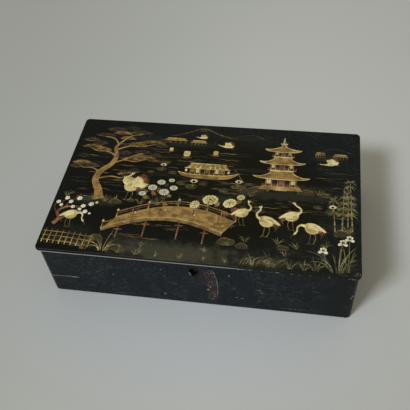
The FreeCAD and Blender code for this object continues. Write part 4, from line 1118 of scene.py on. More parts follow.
@drawing
def spread_wing(length, tone, tips):
    """A raised wing from the shoulder at the origin, pointing up and right, with separate quills."""
    for i in range(13):
        t = i / 12
        angle, reach = math.radians(96 - 78 * t), length * (1.0 - 0.42 * t * t)
        x, y = polar(angle, reach * 0.55)
        tip_x, tip_y = polar(angle - math.radians(14), reach)
        line(tips if i < 8 else tone, [(x, y), ((x + tip_x) / 2 + 0.2, (y + tip_y) / 2), (tip_x, tip_y)],
             [1.15, 1.25, 0.25], 1, 3)
        line(tone, [(0.4 * t, 0), (x, y), (x * 1.28, y * 1.28)], [0.9, 1.35, 0.5], 3, 3)
    line("cream", [(0, -0.6), (-0.6, length * 0.30), (0.4, length * 0.56), (length * 0.10, length * 0.60)],
         [2.4, 2.0, 1.3, 0.5], 5, 4)
    feathers([(0.8, length * 0.16, 1.3, 0.1, 3), (0.9, length * 0.30, 1.3, -0.3, 3),
              (1.2, length * 0.44, 1.3, -0.7, 3)], "russet", 6, 0.9)


@drawing
def flying_crane():
    """A crane in flight to the left, body at the origin, about 22 mm long."""
    line("russet", [(5.5, -0.4), (12, -1.8)], [0.6, 0.3], 1)
    line("russet", [(5.5, -0.9), (11.6, -2.8)], [0.6, 0.3], 1)
    put(spread_wing(11.5, "straw", "shade"), -0.6, 0.8, 0.92, 18)
    patch("cream", [(-6, -0.2), (-3.4, 1.3), (1.2, 1.7), (6.4, -0.2), (2.0, -1.9), (-3.0, -1.5)], 4, 4)
    put(spread_wing(12.5, "cream", "russet"), 0.6, 0.2, 1.0, -12, level=5)
    line("cream", [(-4.6, 0.0), (-8.0, 0.3), (-11.4, 1.2)], [1.7, 1.0, 0.8], 5)
    line("olive", [(-11.6, 1.25), (-14.6, 1.35)], [0.6, 0.15], 6)
    patch("russet", [(-11.9, 1.4), (-11.2, 1.9), (-10.6, 1.5)], 7, 2)


put(crane("high"), 50, -44)
put(crane("low"), 84, -47, 0.98, level=1)
put(crane("back"), 69, -36, 0.92, 0, True)
put(crane("high"), 32, -35, 0.84, 3, True)
put(crane("low"), -101, -50, 0.86, 0, True)
put(spread_wing(15.0, "straw", "shade"), -63.6, -3.4, 1.0, 24)
put([mark for mark in crane("back") if mark[1] != FOLDED_WING_LEVEL], -61, -19, level=1)
put(spread_wing(16.0, "cream", "russet"), -59.4, -4.0, 1.0, -18, level=6)
lay("cranes")
for x, y, size, turn in ((10, 47, 0.62, -8), (-12, 56, 0.46, -4), (96, 34, 0.72, 6)):
    put(flying_crane(), x, y, size, turn)
lay("flying_cranes")

# %% [markdown]
# Flowers fill the ground between. A petal is modelled once and turned round the flower's middle,
# ring over ring, each ring smaller and a little higher: many thin petals make a chrysanthemum, and
# a few broad notched ones a peony. Leaves are lobed patches with a vein, and stems are lines.

# %% Flowers
SEEN_ASLANT = 0.78


def ring(petal, count, start, size, level, squash=SEEN_ASLANT):
    """Copies of a petal round the origin, seen a little from the side."""
    for i in range(count):
        put(petal, 0, 0, size, start + 360.0 * i / count, level=level + i % 2, squash=squash)


def ground_disc(radius, level):
    """A dark disc that sets one ring of petals off from the next."""
    patch("shade", [polar(0.524 * i, radius, SEEN_ASLANT) for i in range(12)], level)


@drawing
def thin_petal():
    patch("white", [(0.25, -0.06), (0.62, -0.115), (0.97, -0.08), (1.0, 0.02), (0.95, 0.10), (0.6, 0.115),
                    (0.25, 0.06)], 0, 2)


@drawing
def broad_petal(tone):
    patch(tone, [(0.12, -0.10), (0.5, -0.29), (0.86, -0.36), (1.0, -0.20), (0.93, -0.04), (1.02, 0.12),
                 (0.88, 0.34), (0.48, 0.28), (0.12, 0.10)], 0, 3)
    for side in (-0.18, 0.0, 0.18):
        line("russet", [(0.25, side * 0.4), (0.55, side), (0.8, side * 1.2)], [0.015, 0.035, 0.012], 2, 3)


@drawing
def chrysanthemum(radius):
    ring(thin_petal(), 15, 0, radius, 0)
    ground_disc(radius * 0.66, 3)
    ring(thin_petal(), 12, 9, radius * 0.64, 4)
    ground_disc(radius * 0.36, 7)
    ring(thin_petal(), 8, 4, radius * 0.34, 8)
    patch("ochre", [polar(0.785 * i, radius * 0.13, 0.10 / 0.13) for i in range(8)], 11, 2)


@drawing
def peony(radius):
    ring(broad_petal("cream"), 7, 10, radius, 0)
    ground_disc(radius * 0.70, 3)
    ring(broad_petal("straw"), 6, 34, radius * 0.72, 4)
    ground_disc(radius * 0.42, 7)
    ring(broad_petal("cream"), 5, 0, radius * 0.44, 8)
    ground_disc(radius * 0.17, 11)
    for i in range(7):
        line("russet", [(0, 0), polar(i * 0.9, radius * 0.15, 0.8)], [0.2, 0.45], 12)


@drawing
def leaf(tone, vein, length):
    """A leaf with three lobes, along +x from its stalk."""
    top = [(0.0, 0.0)]
    for t in (1 / 6, 3 / 6, 5 / 6):
        swell = length * 0.42 * math.sin(math.pi * (0.18 + 0.72 * t))
        top += [(length * (t - 0.12), swell * 0.62), (length * (t + 0.10), swell)]
    patch(tone, top + [(length, 0.0)] + [(x, -y) for x, y in top[:0:-1]], 0, 2)
    line(vein, [(0, 0), (length * 0.92, 0)], [0.3, 0.12], 2)
    for i in range(3):
        foot = length * ((i + 0.4) / 3 - 0.08)
        for side in (-1, 1):
            line(vein, [(foot, 0), (foot + length * 0.16, side * length * 0.24)], [0.2, 0.08], 2)


def stem(foot, x, y, bow, bow_height, widths):
    """A stem from its foot to a flower at x, y, which bows to the left at a given height."""
    line("dull", [foot, ((foot[0] + x) / 2 - bow, bow_height), (x, y)], widths)


for x, y in ((3, -14), (12, -12), (20, -16), (-6, -18), (28, -9)):
    stem((9, -28), x, y, 1.5, -20, [0.9, 0.6, 0.4])
LEAVES = (
    # x, y, turn, length, tone
    (-2, -21, 150, 6.5, "russet"), (4, -24, 200, 6.0, "olive"), (15, -24, -20, 6.5, "russet"),
    (10, -19, 70, 5.5, "olive"), (22, -21, 10, 6.5, "russet"), (-9, -23, 190, 5.0, "dull"),
    (17, -28, -60, 6.0, "olive"), (3, -29, 240, 6.0, "russet"), (25, -14, 40, 5.5, "olive"),
    (8, -30, 280, 5.0, "dull"), (29, -17, -10, 5.0, "dull"), (-4, -27, 210, 5.5, "olive"),
)
for x, y, turn, size, tone in LEAVES:
    put(leaf(tone, "straw" if tone == "russet" else "shade", size), x, y, 1.0, turn, level=1)
PEONIES = (
    # radius, x, y, turn
    (6.2, 5, -12.5, 8), (5.4, 20.5, -14.5, 30), (4.4, -6.5, -18.5, 60), (3.2, 28.5, -7.6, 10),
)
for radius, x, y, turn in PEONIES:
    put(peony(radius), x, y, 1.0, turn, level=3)
lay("peonies")

DAISIES = (
    # x, y, radius
    (-33, -8, 4.2), (-43, -4, 3.8), (-26, -3, 3.2), (-37, 2.2, 3.4), (-50, -11, 3.0), (-29, 5, 2.4),
)
for x, y, radius in DAISIES:
    stem((-38, -22), x, y, 1, -13, [0.8, 0.5, 0.3])
    put(chrysanthemum(radius), x, y, level=4)
SMALL_LEAVES = (
    (-40, -12, 120, 5.0, "russet"), (-34, -15, 30, 5.4, "dull"), (-44, -15, 170, 5.0, "olive"),
    (-38, -8, 80, 4.4, "russet"), (-31, -11, -10, 4.6, "olive"), (-46, -9, 150, 4.4, "russet"),
    (-33, -2, 60, 4.0, "dull"), (-40, -18, 230, 5.0, "russet"), (-32, -19, -30, 4.6, "olive"),
)
for x, y, turn, size, tone in SMALL_LEAVES:
    put(leaf(tone, "shade", size), x, y, 1.0, turn, level=1)
lay("chrysanthemums")

# %% [markdown]
# The front corners are rooted with smaller growth. On the left an old plum leans over a woven
# fence, with white five-petalled blossom; on the right are irises among long blades. Short grass
# ties the bridge, the tower and the pine to the ground. A blade that would pass the edge of the
# lid is cut shorter.

# %% Plum, fence, irises and grass
PICTURE_HALF = 117.0


def blade(tone, x, y, length, lean, width=0.5):
    """One long leaf that rises from x, y and bends over to the side it leans to."""
    tip = length * math.sin(1.25 * lean)
    if abs(x + tip) > PICTURE_HALF:
        length *= (PICTURE_HALF - abs(x)) / abs(tip)
    points = []
    for t in (0.0, 0.35, 0.7, 1.0):
        angle = lean * (0.20 + 1.05 * t)
        points.append((x + length * t * math.sin(angle), y + length * t * math.cos(angle)))
    line(tone, points, [width * 0.5, width, width * 0.8, 0.06], 2)


def tuft(x, y, height, count, tones=("reed", "olive", "reed", "dull"), spread=0.7, width=0.36):
    """A clump of blades from one root, of uneven length and lean."""
    for i in range(count):
        lean = between(-spread, spread)
        length = height * between(0.45, 1.08) * (1.0 - 0.35 * abs(lean))
        root = (x + lean * height * 0.16 + between(-0.6, 0.6), y + between(-0.5, 0.5))
        blade(tones[i % len(tones)], *root, length, lean * between(0.8, 1.25), width * between(0.6, 1.15))


@drawing
def round_petal():
    patch("white", [(0.15, -0.1), (0.5, -0.42), (0.9, -0.34), (1.0, 0.0), (0.9, 0.34), (0.5, 0.42),
                    (0.15, 0.1)], 0, 3)


@drawing
def blossom(radius):
    ring(round_petal(), 5, 18, radius, 0, 0.9)
    for i in range(7):
        line("ochre", [(0, 0), polar(math.radians(18 + 360 / 7 * i), radius * 0.5, 0.9)], [0.14, 0.24], 3)


for i in range(9):
    x = -116.5 + 4.6 * i
    line("ochre", [(x, -66 - 0.15 * i), (x + 0.6, -52.5 - 0.35 * i)], [0.9, 0.75], 3)
    line("straw", [(x + 0.15, -62 - 0.2 * i), (x + 0.5, -54.2 - 0.35 * i)], [0.1, 0.2], 5)
for low in (-55.0, -59.0, -63.2):
    line("olive", [(-117.6, low), (-98, low - 0.8), (-77, low - 2.6)], 0.75, 4)
for i in range(16):
    x, low, high = -117 + 2.4 * i, -66 - 0.1 * i, -55.5 - 0.1 * i
    line("dull", [(x, low), (x + 3.0, high)], 0.32, 1)
    line("dull", [(x + 3.0, low), (x, high)], 0.32, 1)
lay("fence")

PLUM_TRUNK = ((-113, -48), (-110, -42), (-113, -36), (-108, -31), (-101, -29))
patch("russet", ribbon(PLUM_TRUNK, (3.6, 3.0, 2.4, 2.0, 1.2)), 1)
line("ochre", [(x - 0.5, y) for x, y in PLUM_TRUNK], [0.3, 0.7, 0.3, 0.6, 0.2], 3)
TWIGS = (
    ((-101, -29), (-94, -29), (-88, -26)), ((-113, -37), (-117, -31), (-115, -26)),
    ((-108, -31), (-106, -25), (-100, -21)), ((-100, -29), (-96, -33), (-91, -34)),
    ((-110, -33), (-112, -27), (-109, -22)),
)
for twig in TWIGS:
    line("russet", twig, [1.1, 0.7, 0.3], 2, 5)
BLOSSOMS = (
    # x, y, radius
    (-88, -26, 2.2), (-94, -28.6, 2.0), (-99, -21, 2.2), (-105, -25, 1.9), (-91, -34, 2.0), (-96, -32, 1.5),
    (-109, -21.5, 2.0), (-115, -26, 1.9), (-112, -29, 1.5), (-102, -30, 1.7), (-84, -24, 1.2),
    (-87, -35.5, 1.1),
)
for x, y, radius in BLOSSOMS:
    put(blossom(radius), x, y, 1.0, between(0, 70), level=4)
lay("plum")


@drawing
def iris_petal():
    patch("white", [(0, -0.5), (1.4, -1.2), (3.1, -1.0), (3.6, 0.0), (3.0, 0.8), (1.4, 0.9), (0, 0.5)], 0, 3)
    line("ochre", [(0.4, 0), (2.6, -0.1)], [0.5, 0.15], 2)


def iris(x, y, height, lean):
    top_x, top_y = x + height * math.sin(lean), y + height * math.cos(lean)
    line("reed", [(x, y), ((x + top_x) / 2 - lean, (y + top_y) / 2), (top_x, top_y)], [0.6, 0.5, 0.45], 3, 5)
    for turn in (-150, -28, 82, 128, 40):
        put(iris_petal(), top_x, top_y, 1.08 if turn < 0 else 0.86, turn, level=5)


iris(104, -66, 22, 0.12)
iris(96, -67, 15, -0.22)
iris(111, -60, 20, 0.02)
tuft(103, -70, 33, 17, ("reed", "reed", "dull"), 0.8, 0.58)
tuft(110, -69, 24, 9, ("reed", "dull"), 0.42, 0.55)
tuft(88, -70, 14, 15, spread=0.8)
tuft(80, -70.5, 9, 11)
tuft(70, -70.5, 11, 11)
tuft(56, -70.5, 17, 17, spread=0.9)
tuft(44, -70.5, 15, 13, spread=0.9)
tuft(-68, -69, 20, 19, ("straw", "reed", "olive"), 1.15, 0.4)
tuft(-82, -69, 15, 13, ("reed", "olive"), 1.0)
tuft(-56, -70, 11, 13, spread=0.9)
tuft(112, -36, 10, 11)
for i in range(26):
    x = 34 + 1.15 * i + between(-0.5, 0.5)
    blade("reed" if i % 3 else "olive", x, -70.5 + between(0, 0.8), between(7, 13), between(0.45, 0.75), 0.3)
SHORT_TUFTS = (
    # x, y, height, number of blades
    (24, -70, 8, 9), (8, -70, 6, 9), (-10, -70, 7, 9), (-28, -70, 6, 9), (-42, -70, 9, 11),
    (24, -38, 10, 11), (36, -50, 9, 11), (60, -50, 8, 11), (94, -50, 9, 11), (74, -53, 8, 9),
    (-88, -21, 8, 11), (-78, -22, 9, 11), (-70, -20, 7, 9), (-20, -20, 9, 11), (110, -34, 10, 11),
    (36, -6, 7, 9), (88, 0, 8, 11), (30, 0, 8, 9), (100, -4, 7, 9), (-50, -22, 9, 11), (-110, -20, 9, 11),
    (8, -62, 6, 9), (-40, -63, 6, 9), (66, -60, 7, 9), (-100, -22, 7, 9), (48, 1, 6, 9), (-36, -22, 10, 13),
    (-8, -32, 8, 11),
)
for place in SHORT_TUFTS:
    tuft(*place)
lay("growth")

# %% [markdown]
# Rocks, water and distance come last. A rock is an uneven patch with hatching on its shaded side,
# and a bamboo cane is a row of short lines, one for each joint. Water is many short wavering
# lines, in the dullest tones, with a few curling eddies by the piers. The far hills, roofs and
# sails are small and mostly outline, so that the back of the picture stays dark.

# %% Rocks and bamboo
ROCK_CORNERS = 9
ROCKS = (
    # x, y, width, height
    (40, 0, 14, 5.5), (78, 0, 15, 5.0), (92, -1, 10, 4.2), (30, -2.5, 9, 4.0), (-96, -22, 14, 5.0),
    (-70, -23, 12, 4.2), (-76, -60, 12, 5.0), (22, -54, 15, 6.0), (34, -56, 10, 4.5), (106, -38, 13, 5.5),
    (-58, -20, 7, 2.6), (64, -54, 9, 3.4), (-60, -66, 10, 3.6), (92, -56, 8, 3.0),
)
for x, y, width, height in ROCKS:
    outline = []
    for i in range(ROCK_CORNERS):
        dx, dy = polar(math.pi * i / (ROCK_CORNERS - 1), between(0.82, 1.1))
        outline.append((x + dx * width / 2, y + dy * height))
    patch("dull", outline + [(x - width * 0.3, y - 0.7), (x + width * 0.3, y - 0.8)])
    line("olive", outline[1:-1], [0.25] + [0.6] * (ROCK_CORNERS - 4) + [0.25], 2, 3)
    for i in range(6):
        foot = x + width * ((i + 0.6) / 6.5 - 0.5) * 0.9
        crack_end = (foot + between(-0.6, 0.6), y + height * between(0.35, 0.62))
        line("shade", [(foot, y + 0.2), crack_end], [0.5, 0.15], 2)
        line("olive", [(foot + 0.9, y + height * 0.2), (foot + 1.2, y + height * 0.6)], [0.15, 0.3], 2)
lay("rocks")

JOINT_SPACING = 5.2
LEAF_CLUSTERS = 0.75


def bamboo_cane(x, y, height, lean):
    joints = int(height / JOINT_SPACING)
    for i in range(joints):
        low, high = i / joints, (i + 0.93) / joints
        ends = [(x + lean * (t * height + 4 * t * t), y + t * height) for t in (low, high)]
        line("reed" if i % 2 else "olive", ends, [1.25 - 0.7 * low, 1.1 - 0.7 * low], 2)
        for side in (-1, 1) if i > 1 else ():
            if chance.random() >= LEAF_CLUSTERS:
                continue
            node_x, node_y = x + lean * high * height, y + high * height
            for k in range(3):
                angle = math.radians(90 - side * (48 + 34 * k) + between(-10, 10))
                dx, dy = polar(angle, between(3.6, 6.0))
                middle = (node_x + dx * 0.5, node_y + dy * 0.5 - 0.2)
                tip = (node_x + dx, node_y + dy - 1.6)
                line("reed" if k else "olive", [(node_x, node_y), middle, tip], [0.12, 0.62, 0.06], 3, 3)


for cane in ((106, -33, 44, 0.03), (110, -35, 36, 0.02), (101, -34, 30, -0.06), (113.5, -33, 50, -0.03)):
    bamboo_cane(*cane)
lay("bamboo_grove")

# %% Water, sails and far hills
LAKES = (
    # from x, to x, from y, to y, number of lines
    (-116, -24, 8, 44, 44), (-60, 34, 16, 40, 46), (-118, 8, -19, 2, 30), (-64, 14, -44, -24, 30),
    (22, 116, -22, -8, 30), (84, 116, 8, 30, 16), (-30, 46, -6, 14, 26), (-70, -20, -62, -52, 12),
)
EDDIES = (
    # x, y, size
    (-52, -38, 5), (-30, -30, 4), (-8, -33, 5), (8, -42, 4), (-20, -46, 5), (40, -18, 5), (62, -15, 4),
    (-100, -12, 5), (-18, 4, 5), (14, 4, 4),
)
WATER_TONES = ("dusk", "dull", "dull", "olive", "dusk")
for low_x, high_x, low_y, high_y, count in LAKES:
    for _ in range(count):
        length = between(7, 24)
        x = between(low_x, high_x - length)
        tone = WATER_TONES[int(chance.random() * len(WATER_TONES))]
        y, width = between(low_y, high_y), between(0.28, 0.5)
        waves = max(2, int(length / 3.2))
        points = []
        for i in range(waves + 1):
            points.append((x + length * i / waves, y + (0.28 if i % 2 else -0.28) + between(-0.12, 0.12)))
        line(tone, points, [0.08] + [width] * (waves - 1) + [0.08], 0, 3)
for x, y, size in EDDIES:
    for k in range(4):
        curl = [polar(angle, size * (0.35 + 0.25 * k), 0.42) for angle in (0.1, 0.8, 1.6, 2.4, 3.0)]
        line("dull" if k % 2 else "dusk", [(x + dx, y + dy) for dx, dy in curl], [0.1, 0.35, 0.42, 0.35, 0.1])
lay("water")


@drawing
def sail_boat():
    patch("russet", [(-4.2, 0.2), (-3.0, -1.3), (3.4, -1.3), (5.0, 0.6), (2.0, 0.0), (-2.0, 0.0)], 1, 2)
    line("olive", [(0.2, 0), (0.2, 8.6)], [0.5, 0.3], 1)
    patch("straw", [(-2.6, 1.6), (-2.8, 7.2), (0.0, 8.0), (3.0, 7.2), (2.8, 1.6), (0.0, 1.0)], 2, 2)
    for i in range(4):
        x = -2.0 + 1.35 * i
        line("russet", [(x, 1.4), (x + 0.05, 7.5)], 0.2, 4)


@drawing
def pleasure_boat():
    """A long covered boat, about 48 mm over all, with its waterline at y 0."""
    keel = smooth([(-24, 3.4), (-20, -0.6), (-10, -2.6), (8, -2.8), (19, -1.0), (27, 5.2)], 4)
    patch("ochre", keel + [(21, 3.0), (12, 1.4), (-10, 1.2), (-19, 2.2)], 2)
    line("straw", [(-24, 3.5), (-19, 2.3), (-10, 1.3), (12, 1.5), (21, 3.1), (27, 5.3)],
         [0.5, 0.7, 0.6, 0.6, 0.7, 0.4], 5)
    patch("shade", [(-14, 1.2), (14, 1.4), (14, 8.8), (-14, 8.8)])
    for y in (-1.3, 0.1):
        plank = [(-20, y + 0.6), (-6, y - 0.5), (8, y - 0.5), (21, y + 1.4)]
        line("russet", plank, [0.15, 0.3, 0.3, 0.15], 4)
    for i in range(8):
        x = -14 + 4.0 * i
        line("ochre", [(x, 1.2), (x, 8.8)], 0.7, 3)
        if i in (0, 1, 3, 5, 6):
            panel("straw" if i % 3 else "olive", x + 0.7, 3.4, x + 3.3, 8.0, 1)
            line("russet", [(x + 2.0, 3.4), (x + 2.0, 8.0)], 0.2, 4)
            line("russet", [(x + 0.7, 5.7), (x + 3.3, 5.7)], 0.2, 4)
    for y in (2.4, 3.2):
        line("russet", [(-17, y), (17, y + 0.2)], 0.35, 5)
    eaves = smooth([(-19, 8.2), (-17, 9.4), (-14.5, 13.4)], 3)
    patch("ochre", eaves + [(-x, y) for x, y in eaves[::-1]] + [(0, 7.9)], 6)
    for i in range(17):
        t = i / 8 - 1
        tone, widths = ("straw", [0.4, 0.9]) if i % 2 else ("russet", [0.3, 0.45])
        line(tone, [(t * 14, 13.2), (t * 17.6, 8.4)], widths, 8)
    line("straw", [(-15, 13.5), (15, 13.5)], 0.9, 9)
    line("straw", [(-19, 8.2), (0, 7.8), (19, 8.2)], 0.7, 9)
    for x in (-17.5, 17.5):
        line("russet", [(x, 8.0), (x, 6.8)], 0.25, 9)
        patch("cream", [(x + math.cos(0.785 * i), 5.4 + 1.5 * math.sin(0.785 * i)) for i in range(8)], 9, 2)
    line("olive", [(22, 9.5), (31, -4.5)], [0.5, 0.8], 7)
    for i in range(14):
        y = -3.6 - 0.35 * (i % 7)
        x = -22 + 3.3 * i + between(-1.5, 1.5)
        line("dull", [(x, y), (x + 2.5, y + 0.25), (x + 6, y)], [0.1, 0.4, 0.1])


put(pleasure_boat(), -2, 12)
lay("pleasure_boat")


@drawing
def lotus_petal(tone):
    patch(tone, [(0, -0.3), (1.2, -0.75), (2.6, -0.45), (3.2, 0), (2.6, 0.45), (1.2, 0.75), (0, 0.3)], 0, 2)
    line("russet", [(0.8, 0), (2.8, 0)], [0.15, 0.25], 2)


@drawing
def lotus(radius, flower):
    """A floating leaf with its veins, and for some a flower above it."""
    rim = [polar(0.449 * i, radius, 0.42) for i in range(1, 14)]
    patch("dull", [(0.0, 0.0)] + rim, 1)
    line("olive", rim, 0.3, 3, 2)
    for i in range(7):
        line("olive", [(0, 0), polar(0.75 + 0.84 * i, radius * 0.9, 0.37 / 0.9)], [0.35, 0.1], 3)
    if flower:
        line("reed", [(0.3, 0), (0.9, radius * 0.9)], 0.35, 4)
        for turn in (150, 30, 120, 60, 90):
            petal = lotus_petal("cream" if turn % 60 else "white")
            put(petal, 0.9, radius * 0.9, radius / 4.2, turn, level=5)


FLOATING = (
    # x, y, radius, whether it has a flower
    (-12, 0, 5.0, True), (-21, 3, 4.0, False), (-3, 3.6, 3.6, False), (24, 3, 4.6, True),
    (14, -1.5, 3.8, False), (33, 6.5, 3.2, False), (-30, 14, 3.4, False), (-40, 17, 4.0, True),
    (-48, 13, 3.0, False), (44, -20, 4.2, False), (98, -16, 4.4, True), (88, -12, 3.6, False),
)
for x, y, radius, flower in FLOATING:
    put(lotus(radius, flower), x, y)
lay("lotus")


def hill(points, tone, hatch):
    """A hill's outline, hatched below."""
    line(tone, points, [0.15] + [0.5] * (len(points) - 2) + [0.15], 1, 6)
    for x, y in smooth(points, 5)[2:-2]:
        for k in range(hatch):
            left = x + 0.7 * k
            line("dusk", [(left, y - 0.5 - 0.6 * k), (left + 1.4, y - 1.8 - 0.9 * k)], [0.28, 0.08])


for x, y, size in ((-22, 32, 0.9), (2, 36, 0.66), (-36, 38, 0.5)):
    put(sail_boat(), x, y, size)
hill([(-40, 56), (-28, 60), (-16, 66.6), (-12, 67.2), (-8, 66.6), (4, 60.5), (18, 56.5)], "olive", 3)
hill([(10, 57), (22, 61), (30, 63), (36, 61.5), (44, 58)], "dull", 2)
hill([(82, 46), (92, 50), (100, 52), (108, 50), (116, 46)], "dull", 2)
patch("dull", [(-15.6, 64.4), (-12.0, 66.4), (-8.4, 64.4), (-10.0, 63.4), (-11.2, 64.2), (-12.6, 63.2),
               (-14.0, 64.0)], 2, 2)
for x, y, width in ((-34, 51, 21), (-14, 49.5, 15), (104, 43, 13), (88, 44, 9)):
    half, ridge = width / 2, y + 2.9
    patch("ochre" if width > 14 else "olive",
          [(x - half, y), (x - half * 0.7, ridge), (x + half * 0.7, ridge), (x + half, y)], 2)
    line("straw", [(x - half * 0.72, ridge), (x + half * 0.72, ridge)], 0.5, 4)
    for i in range(5):
        post = x - half * 0.8 + width * 0.2 * i
        line("olive", [(post, y - 2.6), (post, y)], 0.5, 1)
    line("dull", [(x - half * 0.9, y - 2.6), (x + half * 0.9, y - 2.6)], 0.4, 1)
for _ in range(26):
    x = -44 + between(0, 60)
    line("dusk", [(x, 49 + between(-1, 4)), (x + between(-0.5, 0.5), 52 + between(0, 4))], [0.6, 0.15])
lay("distance")
faces = sum(len(piece.data.polygons) for piece in drawn_pieces)
print("picture:", len(drawn_pieces), "pieces with", faces, "faces")

# %% [markdown]
# Old damage is drawn the same way, on the front's own plane. Lacquer breaks with a sharp edge: the
# flake beside the keyhole shows the brown coats under the black, and its right side has a pale
# raised rim. The crack at the left follows a finger joint. Three corners are chipped down to the
# clay. Each mark is a thin patch or line that lies in the face of the board, in its own rubbed
# finish: soot-brown undercoat, red undercoat, clay, and bare pale edge. Since the marks stand on
# the face and are not sunk into it, the deepest pits are near-black patches of painted shade.

# %% Marks on the front
def mark_finish(name, first, second, fine=420.0):
    """A matt, mottled finish for bared coats, and for the painted shade in pits."""
    place = begin(name, Specular_IOR_Level=0.15)
    mottled = clouding(place, fine, 0.38, 0.62)
    share = maths("ADD", mottled, specks(place, 2.2 * fine, 0.35, 0.3) * 0.5, clamp=True)
    return complete(blend(share, first, second), ramp(mottled, 0.0, 1.0, 0.55, 0.8), share, 0.35, 0.06)


bared_coats_and_pit_shade = {
    "soot": mark_finish("soot_undercoat", from_screen(34, 32, 30), from_screen(56, 48, 46)),
    "earth": mark_finish("red_undercoat", from_screen(56, 42, 40), from_screen(86, 64, 60)),
    "clay": mark_finish("clay_ground", from_screen(92, 90, 84), from_screen(132, 130, 122)),
    "edge": mark_finish("broken_edge", from_screen(84, 82, 80), from_screen(126, 124, 122), 700.0),
    "oil": mark_finish("oily_brown", from_screen(38, 38, 32), from_screen(72, 70, 54), 260.0),
    # Painted shade: near black for the inside of deep pits and chips
    "hole": mark_finish("deep_chip", from_screen(10, 10, 10), from_screen(18, 17, 16)),
}


def upright_plane(front):
    """Drawings on a vertical face at this y: x to the right, y up, and height towards the viewer."""
    return Matrix(((MM, 0, 0, 0), (0, 0, -MM, front), (0, MM, 0, 0), (0, 0, 0, 1)))


def uneven_dot(tone, x, y, size, angles, least, most, level, steps=0):
    """A small patch whose corners lie at uneven distances."""
    corners = []
    for angle in angles:
        across, up = between(least, most), between(least, most)
        corners.append((x + size * math.cos(angle) * across, y + size * math.sin(angle) * up))
    patch(tone, corners, level, steps)


FLAKE = (
    (7.6, 46.4), (11.2, 48.0), (14.6, 47.0), (15.8, 42.5), (16.8, 37.0), (17.1, 31.5), (17.2, 24.6),
    (16.9, 18.5), (16.4, 12.6), (14.7, 7.8), (10.2, 7.6), (9.1, 12.2), (8.9, 19.4), (9.4, 26.6), (9.1, 35.8),
    (8.2, 41.2),
)
FLAKE_DOTS = 120
# The 'hole' dots are painted shade in pits
DOT_TONES = ("earth", "earth", "soot", "earth", "clay", "earth", "soot", "earth", "hole", "earth")
patch("soot", [(x + between(-0.35, 0.35), y + between(-0.5, 0.5)) for x, y in smooth(FLAKE, 3, True)], -2)
for i in range(FLAKE_DOTS):
    y = between(8.2, 46.4)
    x = between(9.4, 16.0) - 0.05 * max(0.0, y - 30)
    uneven_dot(DOT_TONES[i % 10], x, y, between(0.2, 0.75), (0.0, 1.25, 2.5, 3.75, 5.0), 0.6, 1.4, i % 4 - 1)
for x, y, size in ((9.9, 22.0, 0.95), (15.1, 16.4, 0.7), (11.6, 34.0, 0.55)):
    uneven_dot("clay", x, y, size, (0.0, 1.0, 2.0, 3.0, 4.0, 5.0), 0.6, 1.2, 1, 2)
line("earth", ((11.5, 16.6), (14.2, 15.4), (16.4, 16.2)), (0.2, 0.6, 0.2), 1, 5)
line("edge", ((11.2, 48.3), (14.8, 47.2), (15.9, 42.5), (16.8, 37.1)), (0.3, 0.75, 0.55, 0.7), 0, 6)
line("edge", ((16.9, 36.0), (17.2, 31.5), (17.3, 24.6), (17.0, 18.5), (16.5, 15.0)),
     (0.7, 0.8, 0.5, 0.7, 0.2), 0, 6)
line("edge", ((7.6, 46.2), (8.4, 41.0), (9.0, 38.0)), (0.2, 0.35, 0.1), 0, 5)
patch("oil", ((-118.9, 25.2), (-114.0, 24.0), (-109.0, 22.6), (-104.5, 21.4), (-110.0, 18.8),
              (-117.0, 17.6)), -1, 3)
patch("clay", ribbon(((-118.7, 22.5), (-116.3, 22.0), (-113.4, 21.4), (-110.0, 21.5)), (0.9, 1.1, 0.8, 0.3)))
line("edge", ((-112, 21.4), (-106.1, 21.7), (-100.4, 21.7)), (0.35, 0.55, 0.7), 0, 6)
line("clay", ((-101.6, 21.9), (-97.0, 21.6), (-93.2, 21.9)), (0.8, 1.0, 0.3), 0, 6)
line("soot", ((-117.0, 21.0), (-108.0, 20.4), (-96.0, 20.7)), (0.5, 0.5, 0.2), -1, 6)
patch("oil", ((118.0, 27.0), (118.7, 24.0), (118.7, 3.0), (117.0, 1.2), (113.6, 1.6), (115.0, 9.0),
              (115.8, 20.0)), -2, 3)
patch("clay", ((116.2, 31.8), (117.2, 32.6), (117.8, 31.4), (117.2, 30.4), (116.4, 30.9)), 0, 2)
patch("clay", ((115.4, 28.9), (116.6, 29.3), (116.8, 28.5), (115.8, 28.3)), 0, 2)
SCUFFS = (
    # x, y, length, width
    (-66, 4.6, 9, 0.30), (-56, 5.4, 6, 0.25), (46.5, 27.6, 4.5, 0.5), (49.0, 24.4, 3.4, 0.5),
    (30.0, 14.6, 3.0, 0.55), (34.0, 13.8, 3.6, 0.6), (47.0, 12.6, 4.2, 0.5), (29.0, 26.6, 2.4, 0.4),
    (66, 5.4, 22, 0.28), (-26.5, 9.6, 2.6, 0.6), (88, 33, 5, 0.25), (-88, 12, 7, 0.22),
)
for x, y, reach, wide in SCUFFS:
    line("edge", ((x, y), (x + reach / 2, y + 0.25), (x + reach, y - 0.1)), (0.1, wide, 0.1))
lay("front_marks", bared_coats_and_pit_shade, upright_plane(CASE_FRONT), "case")

patch("edge", ((113.6, 57.6), (116.2, 58.0), (118.6, 58.8), (118.9, 57.6), (116.0, 56.9),
               (113.8, 56.9)), -1, 2)
patch("hole", ((116.6, 59.0), (118.2, 59.3), (118.3, 58.4), (116.9, 58.2)), 1, 2)
for x, wide in ((33.9, 0.8), (41.5, 0.35), (56.0, 0.3), (77.0, 0.4), (98.0, 0.3)):
    patch("clay", ((x - wide, 56.7), (x, 57.2), (x + wide, 56.8), (x, 56.5)), 0, 2)
lay("edge_marks", bared_coats_and_pit_shade, upright_plane(LID_LOW.y), "lid")

